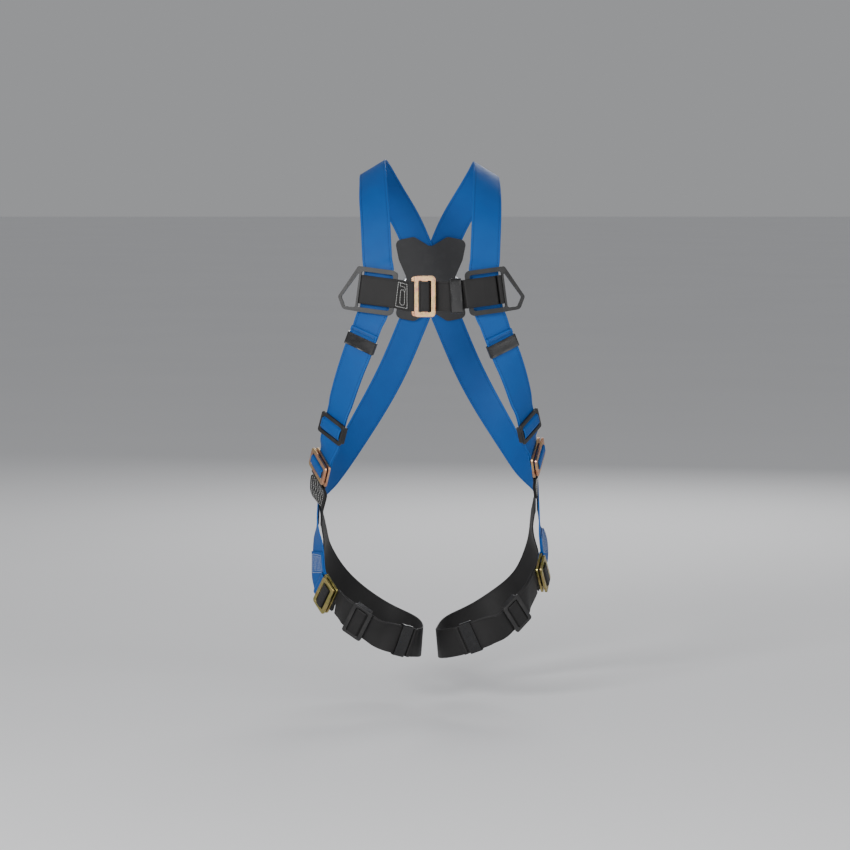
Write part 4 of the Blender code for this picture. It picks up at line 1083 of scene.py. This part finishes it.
def roll_profile():
    """The turn round a male plate's bar, as (s from the plate's middle toward its strap, height)."""
    middle = MALE_BASE + BUCKLE_THICK / 2
    rise = BUCKLE_THICK / 2 + WEB_THICK / 2 + GAP
    reach = MALE_BAR / 2 + WEB_THICK / 2 + 0.6 * MM
    return [(11 * MM, LAYER + 0.4 * MM), (reach, middle - rise + 1 * MM), (reach, middle + rise),
            (-reach, middle + rise), (-reach, middle - rise), (0.0, 0.6 * MM), (11 * MM, 0.1 * MM)]


def chest_box(face, start):
    """White box stitching next to the right frame: a rectangle with a long loop and a hook inside it."""
    box = [(0.5, -18), (18, -18), (18, 18), (0.5, 18), (0.5, -18)]
    loop = []
    for middle, turn in ((-11, 1), (5, -1)):
        for step in range(9):
            angle = math.pi * step / 8
            loop.append((9.2 + turn * 3.4 * math.cos(angle), middle - turn * 3.4 * math.sin(angle)))
    loop.append(loop[0])
    hook = [(4.6, 18), (4.6, 13), (12.4, 13), (14.2, 10), (12.4, 6)]
    return [face.run(start, path) for path in (box, loop, hook)]


def dorsal_plate(place):
    """Moulded plate under the crossing, with two bridges and two knuckles."""
    half = [(-50, 0, 10), (-66, 26, 9), (-60, 56, 9), (-30, 50, 16), (0, 37, 16), (30, 50, 16), (60, 56, 9),
            (66, 26, 9), (50, 0, 10)]
    mirrored = [(s, -w, radius) for s, w, radius in half[-2:0:-1]]
    corners = [(s * MM, w * MM, radius * MM) for s, w, radius in half + mirrored]
    top = -WEB_THICK / 2 - GAP
    base = slab(rounded(corners, 9 * MM, 8), [], top - PLATE_THICK, top)
    obj = plate("dorsal_base", base, MATTE_BLACK, place.matrix(), 1.0 * MM, 3)
    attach(obj, "harness")
    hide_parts("dorsal_plate")
    under = LAYER + WEB_THICK / 2 + 4 * GAP
    inside, outside, roof = 48 * MM, 52.5 * MM, under + 3 * MM
    arch = [(-outside, top - 1 * MM), (-outside, roof, 3.5 * MM), (outside, roof, 3.5 * MM),
            (outside, top - 1 * MM), (inside, top - 1 * MM), (inside, under, 1.2 * MM),
            (-inside, under, 1.2 * MM), (-inside, top - 1 * MM)]
    across = Matrix(((0, 0, 1), (1, 0, 0), (0, 1, 0))).to_4x4()
    parts = bmesh.new()
    for sign in (-1, 1):
        join(parts, slab(rounded(arch, 0.3 * MM, 5), [], sign * BRIDGE_AT - 5 * MM,
                         sign * BRIDGE_AT + 5 * MM, across))
    upright = Matrix(((1, 0, 0), (0, 0, 1), (0, 1, 0))).to_4x4()
    crown = RING_LIFT + KNUCKLE_BORE + 3 * MM
    foot, wide = top - 1 * MM, KNUCKLE_WIDTH / 2
    post = [(-wide, foot, 0.2 * MM), (wide, foot, 0.2 * MM), (wide, crown, 7 * MM), (-wide, crown, 7 * MM)]
    bore = [Vector((KNUCKLE_BORE * math.cos(a), RING_LIFT + KNUCKLE_BORE * math.sin(a)))
            for a in np.linspace(0, 2 * math.pi, 28, endpoint=False)]
    for sign in (-1, 1):
        inner, outer = sorted((sign * KNUCKLE_INSIDE, sign * (KNUCKLE_INSIDE + KNUCKLE_THICK)))
        join(parts, slab(rounded(post, 1 * MM, 8), [bore], inner, outer, upright))
    obj = plate("dorsal_guides", parts, MATTE_BLACK, place.matrix(), 0.7 * MM, 3, 40)
    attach(obj, "harness")


def dorsal_ring(place):
    """Forged D-ring, round in section, with a straight bar in the knuckles."""
    hinge = place.moved(n=RING_LIFT)
    wide = RING_HALF_WIDTH - RING_THICK / 2
    path = [Vector((0, -wide + 5 * MM)), Vector((0, wide - 5 * MM))]
    for step in range(1, 6):
        angle = math.pi / 2 * step / 6
        path.append(Vector((5 * MM - 5 * MM * math.cos(angle), wide - 5 * MM + 5 * MM * math.sin(angle))))
    for step in range(41):
        angle = math.pi * step / 40
        path.append(Vector((RING_LEG + wide * math.sin(angle), wide * math.cos(angle))))
    for step in range(5, 0, -1):
        angle = math.pi / 2 * step / 6
        path.append(Vector((5 * MM - 5 * MM * math.cos(angle), -wide + 5 * MM - 5 * MM * math.sin(angle))))
    bm = bmesh.new()
    rings = []
    count = len(path)
    for i, p in enumerate(path):
        tangent = (path[(i + 1) % count] - path[i - 1]).normalized()
        normal = Vector((-tangent.y, tangent.x))
        ring = []
        for k in range(16):
            angle = 2 * math.pi * k / 16
            squash = 1 - 0.06 * abs(math.sin(2 * angle))
            offset = normal * math.cos(angle) * RING_THICK / 2 * squash
            height = math.sin(angle) * RING_THICK / 2 * squash
            ring.append(bm.verts.new((p.x + offset.x, p.y + offset.y, height)))
        rings.append(ring)
    for i in range(count):
        wall(bm, rings[i], rings[(i + 1) % count])
    obj = plate("dorsal_d_ring", bm, STEEL, hinge.matrix())
    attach(obj, "dorsal_ring")
    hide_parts("dorsal_ring")


# ---------------------------------------------------------------- the straps of one side

def female_turn(place, above, below, flip=1, clear=3.5 * MM):
    """Corners of webbing turned round the female frame's bar, upper layer first."""
    bar = FEMALE_SHIFT + FEMALE_WINDOW[1] / 2 - GAP - WEB_THICK / 2
    over = FEMALE_BASE + BUCKLE_THICK + GAP + WEB_THICK / 2
    edge = FEMALE_SHIFT + FEMALE_DEPTH / 2
    return [corner(place, s, n, flip) for s, n in (
        (above, 2 * LAYER), (edge + clear, over), (bar, over), (bar, LAYER), (below, LAYER))]


HIP_TWIST = 20   # degrees that the right hip webbing turns to the front between buckle and crossing
HIP_ASIDE = -3.5 * MM
LOOP_TWIST = {"left": 2, "right": -15}   # and the same for the blue webbing below the crossing
HIP_DOUBLED = 64 * MM   # from the torso buckle to the sewn end of the black webbing turned round it
TORSO_TURN_REACH = 20 * MM   # from a male plate's middle to where its webbing leaves the strap's line
LEG_TURN_REACH = 22 * MM
TORSO_HEM = 19.5 * MM   # from a keeper's middle to the folded edge of the tail behind it
LEG_HEM = 19 * MM
FOLD_INSET = 1.2 * MM
HEM_FOLDED = 6 * MM
PLATE_BLEND = (12 * MM, 2 * MM)   # distance outside a plate's hinge line, then inside it; the points there are worked out and not used
FEMALE_REACH = 28 * MM   # from a female frame's middle to where its webbing is back in line
BESIDE_PLATE = 75 * MM   # distance that the upper strap stays raised over the dorsal plate's crossing
STITCH_LIFT = WEB_THICK / 2 + 0.1 * MM


def diamond_runs(route, origin, height, length, half, rows):
    """Box of white stitching with rows of zigzag inside it, on webbing that follows a route."""
    box = [(0, -half), (length, -half), (length, half), (0, half), (0, -half)]
    runs = [on_route(route, origin, height, box)]
    for index in range(rows):
        across = -half + 2 * half * (index + 1) / (rows + 1)
        zigzag = []
        count = 6
        for step in range(count + 1):
            zigzag.append((2 + (length - 4) * step / count, across + (1.1 if step % 2 else -1.1)))
        runs.append(on_route(route, origin, height, zigzag))
    return runs


def bar_turn(bar, way, strap, reach):
    """Rows round a male plate's bar, in from the lower layer of the strap and out to the upper one."""
    around = [corner(bar, way * s, n, 1, ROLL_ACROSS) for s, n in roll_profile()]
    low, high = corner(strap, way * reach, 0), corner(strap, way * reach, LAYER)
    return corner_rows([low, *around[::-1], high])[1:-1]


def tail_rows(route, start, hem):
    """Rows of the upper layer back to a hem, where the webbing makes a half turn and lies on itself."""
    fold = hem + FOLD_INSET
    here = route.place(fold)
    middle, radius = 1.5 * LAYER, LAYER / 2
    half_turn = []
    for step in range(1, 6):
        angle = math.pi * step / 6
        point = here.point(-radius * math.sin(angle), 0, middle - radius * math.cos(angle))
        half_turn.append((point, here.w, WEB_WIDTH))
    return (route_rows(route, start, fold, LAYER) + half_turn
            + route_rows(route, fold, hem + HEM_FOLDED, 2 * LAYER, 2 * MM))


def build_side(side, chest_place):
    """All the webbing of one side with its hardware, from the dorsal plate to the leg loop."""
    sign = SIDE_SIGN[side]
    torso = Route(station_rows(side, TORSO[side]))
    for key, half in TORSO_FLATS.items():
        torso.flatten(torso.find(2, TORSO_STOPS[side][key] * MM, 0.3), half)
    stops = {key: torso.find(2, z * MM, 0.3) for key, z in TORSO_STOPS[side].items()}
    torso_buckle = torso.place(stops["buckle"])
    soft = softened(torso, TORSO_SOFTENING)
    if side == "right":
        twisted(soft, stops["buckle"] + 14 * MM, stops["crossing"] + 6 * MM, -HIP_TWIST, HIP_ASIDE)
    over = raised_near(0.0, LAYER if side == "left" else 0.0, hold=BESIDE_PLATE)
    hem = stops["keeper"] - TORSO_HEM

    # Shoulder strap, its turn in the torso buckle, and its tail up to the folded hem.
    turn = bar_turn(torso_buckle, -1, torso_buckle, TORSO_TURN_REACH)
    rows = route_rows(soft, GAP, stops["buckle"] - TORSO_TURN_REACH, over)
    rows += turn + tail_rows(soft, stops["buckle"] - TORSO_TURN_REACH, hem)
    obj = band(f"shoulder_webbing_{side}", rows, BLUE, mirrored=side == "left")
    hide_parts(f"shoulder_strap_{side}", f"strap_tail_{side}", f"torso_{side}_buckle_webbing")
    hinge = -MALE_DEPTH / 2
    tuple(torso_buckle.point(hinge - PLATE_BLEND[0], 0, 0))
    tuple(torso_buckle.point(hinge + PLATE_BLEND[1], 0, 0))
    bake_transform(obj)
    seam = [on_route(soft, hem, 2 * LAYER + STITCH_LIFT, [(at, -19), (at, 19)])
            for at in (2.4, 4.6)]
    obj = stitch_mesh(f"tail_hem_stitches_{side}", seam, BLACK_THREAD)
    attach(obj, "harness")

    frame_place = torso.place(stops["frame"])
    out = chest_frame(side, frame_place)
    chest_webbing(side, frame_place, out, chest_place)
    if side == "left":
        keeper("chest_keeper", chest_turn(frame_place, out, chest_place).moved(s=-2.5 * MM),
               LAYER + WEB_THICK / 2 + CHEST_KEEPER_ROOM, "chest_keeper", CHEST_KEEPER_LENGTH + 3 * MM,
               WEB_WIDTH + 2 * CHEST_KEEPER_ROOM, 0.5 * MM)
    keeper_place = torso.place(stops["keeper"])
    keeper(f"torso_keeper_{side}", keeper_place, LAYER + WEB_THICK / 2, f"torso_keeper_{side}")
    slide(f"torso_{side}", torso.place(stops["adjuster"]), f"torso_adjuster_{side}", BLUE)
    buckle(f"torso_{side}", torso_buckle, "harness", f"torso_plate_{side}", COPPER)

    middle, across_plates, face, strap_way = [Vector((sign * x, y, z)) for x, y, z in LEG_BUCKLE[side]]
    leg_buckle = Place(middle * MM, across_plates, face)
    strap_place = Place(middle * MM, strap_way - leg_buckle.n * strap_way.dot(leg_buckle.n), leg_buckle.n)

    def straight(place, *distances):
        return [[*place.point(d * MM, 0, 0), *place.n] for d in distances]

    # Blue webbing from the dorsal plate, over the hip crossing, round the leg buckle and back up.
    other = "left" if side == "right" else "right"
    start = station_rows(side, [(0, 118, -175, 180, 0)])
    blue = Route(start + station_rows(side, BACK + BACK_END[side])
                 + straight(leg_buckle, *LEG_LOOP_STRAIGHT[side]))
    at_hip = blue.find(2, TORSO_STOPS[side]["crossing"] * MM, 0.3)
    blue = twisted(softened(blue), at_hip + 2 * MM, blue.length - 24 * MM, LOOP_TWIST[side])
    near_plate = raised_near(0.0, LAYER if other == "left" else 0.0, hold=BESIDE_PLATE)
    near_hip = raised_near(at_hip, 2.1 * LAYER)

    def blue_lift(distance):
        after = min(1.0, max(0.0, (distance - at_hip) / (30 * MM)))
        return near_plate(distance) + near_hip(distance) + LAYER * after

    end = blue.length - 8 * MM
    female = leg_buckle.reversed()
    rows = route_rows(blue, GAP, end, blue_lift)
    rows += corner_rows(female_turn(female, FEMALE_REACH, 20 * MM, -1)[::-1])
    rows += route_rows(blue, end - 9 * MM, blue.length - LOOP_DOUBLED - 4 * MM,
                       lambda d: blue_lift(d) + LAYER)
    obj = band(f"back_webbing_{side}", rows, BLUE, mirrored=side == "right")
    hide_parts(f"back_strap_{side}", f"hip_loop_{side}")
    leg_body = f"leg_loop_{side}"
    way = blue.place(at_hip).s
    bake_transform(obj)
    runs = diamond_runs(blue, blue.length - LOOP_DOUBLED + 1 * MM,
                        lambda d: blue_lift(d) + LAYER + STITCH_LIFT, 27, 17, 5)
    obj = stitch_mesh(f"hip_loop_stitches_{side}", runs, WHITE_THREAD)
    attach(obj, leg_body)

    # Black webbing from the torso buckle, inside the crossing, round the thigh to the leg adjuster.
    black = Route(station_rows(side, LEG_BACK[side] + LEG_UNDER + LEG_FRONT[side])
                  + straight(strap_place, *LEG_STRAP_STRAIGHT[side]))
    front = black.length * 0.5
    for key, half, ahead, ease in (("adjuster", LEG_SLIDE_FLAT, LEG_SLIDE_AHEAD, LEG_SLIDE_EASE),
                                   ("keeper", KEEPER_FLAT, 0, 14 * MM)):
        black.flatten(black.find(0, sign * LEG_STOPS[side][key] * MM, front) - ahead, half, ease)
    at = {key: black.find(0, sign * x * MM, front) for key, x in LEG_STOPS[side].items()}
    keeper_place, slide_place = black.place(at["keeper"]), black.place(at["adjuster"])
    black = softened(black)
    under = raised_near(LEG_START, -1.6 * LAYER)
    first = stops["buckle"] + 32 * MM

    def black_lift(distance):
        return LAYER * min(1.0, max(0.0, 1 - (distance - first) / (12 * MM)))

    rows = route_rows(soft, stops["buckle"] + HIP_DOUBLED, first, lambda d: black_lift(d) + LAYER)
    rows += corner_rows(female_turn(torso_buckle, FEMALE_REACH, FEMALE_REACH))
    rows += route_rows(soft, first, stops["crossing"] + 4 * MM, black_lift)

    def inside_lift(distance):
        return under(distance) * min(1.0, (distance - 20 * MM) / (30 * MM))

    joined = route_rows(black, 26 * MM, at["adjuster"], inside_lift)
    obj = band(f"thigh_webbing_{side}", rows + joined, BLACK)
    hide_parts(f"hip_strap_{side}", f"leg_strap_{side}")
    way = torso.place(stops["crossing"]).s
    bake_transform(obj)
    runs = diamond_runs(soft, stops["buckle"] + 26 * MM,
                        lambda d: black_lift(d) + LAYER + STITCH_LIFT, 36, 17, 5)
    obj = stitch_mesh(f"hip_strap_stitches_{side}", runs, WHITE_THREAD)
    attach(obj, "harness")

    # The rest of it: through the adjuster, round the leg buckle's male bar, and back to the keeper.
    near = black.length - LEG_TURN_REACH
    rows = route_rows(black, at["adjuster"], near)
    rows += bar_turn(leg_buckle, 1, strap_place, LEG_TURN_REACH)
    rows += tail_rows(black, near, at["keeper"] - LEG_HEM)
    obj = band(f"thigh_tail_webbing_{side}", rows, BLACK)
    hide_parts(f"leg_strap_tail_{side}", f"leg_{side}_buckle_webbing")
    plate_place = leg_buckle.reversed()
    tuple(plate_place.point(hinge - PLATE_BLEND[0], 0, 0))
    tuple(plate_place.point(hinge + PLATE_BLEND[1], 0, 0))
    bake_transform(obj)
    keeper(f"leg_keeper_{side}", keeper_place, LAYER + WEB_THICK / 2, f"leg_keeper_{side}")
    slide(f"leg_{side}", slide_place, f"leg_adjuster_{side}", BLACK)
    buckle(f"leg_{side}", plate_place, leg_body, f"leg_plate_{side}", OLIVE)


# ---------------------------------------------------------------- the scene

def area_light(name, position, target, size, power, colour=(1, 1, 1)):
    data = bpy.data.lights.new(name, "AREA")
    data.shape = "DISK"
    data.size = size
    data.energy = power
    data.color = colour
    obj = bpy.data.objects.new(name, data)
    obj.location = position
    obj.rotation_euler = (Vector(target) - Vector(position)).to_track_quat("-Z", "Y").to_euler()
    bpy.context.scene.collection.objects.link(obj)


CAMERA_LENS = 141.17647


def studio():
    """Floor, world, lights, and a camera in front of the harness."""
    floor_mesh = bpy.data.meshes.new("studio_floor")
    size, depth = 30.0, -0.82
    floor_mesh.from_pydata([(-size, -size, depth), (size, -size, depth), (size, size, depth),
                            (-size, size, depth)], [], [(0, 1, 2, 3)])
    shade = Shader("floor_paint", Roughness=0.9)
    place = shade.node("ShaderNodeTexCoord").outputs["Object"]
    tint = shade.mix(shade.noise(place, 1.5, 2.0), (0.82, 0.82, 0.83), (0.86, 0.86, 0.87))
    floor_mesh.materials.append(shade.done(tint))
    floor = bpy.data.objects.new("studio_floor", floor_mesh)
    bpy.context.scene.collection.objects.link(floor)
    world = bpy.data.worlds.new("studio")
    world.use_nodes = True
    background = world.node_tree.nodes["Background"]
    background.inputs[0].default_value = (0.72, 0.73, 0.75, 1)
    background.inputs[1].default_value = 0.45
    bpy.context.scene.world = world
    area_light("key", (-1.9, -3.2, 1.0), (0, 0, -0.35), 1.3, 105)
    area_light("fill", (2.2, -2.2, 0.4), (0, 0, -0.35), 2.0, 30)
    area_light("rim", (0.6, 2.8, 1.0), (0, 0, -0.3), 1.5, 34)
    area_light("low", (0.0, -2.4, -0.6), (0, 0, -0.4), 1.6, 12)
    camera_data = bpy.data.cameras.new("camera")
    camera_data.sensor_width = 36
    camera_data.lens = CAMERA_LENS
    camera_data.clip_end = 100
    camera = bpy.data.objects.new("camera", camera_data)
    camera.location = (-0.009, -5.1, 0.052)
    camera.rotation_euler = (math.radians(85), 0, 0)
    bpy.context.scene.collection.objects.link(camera)
    bpy.context.scene.camera = camera


def main():
    dorsal = Place(PLATE_PLACE, (0, 0, -1), (0, 1, 0))
    dorsal_plate(dorsal)
    dorsal_ring(dorsal)
    chest_place = Place(CHEST_BUCKLE, (-1, 0, 0), (0, -1, 0))
    buckle("chest", chest_place, "harness", "chest_plate", COPPER)
    for side in ("left", "right"):
        build_side(side, chest_place)
    studio()


main()
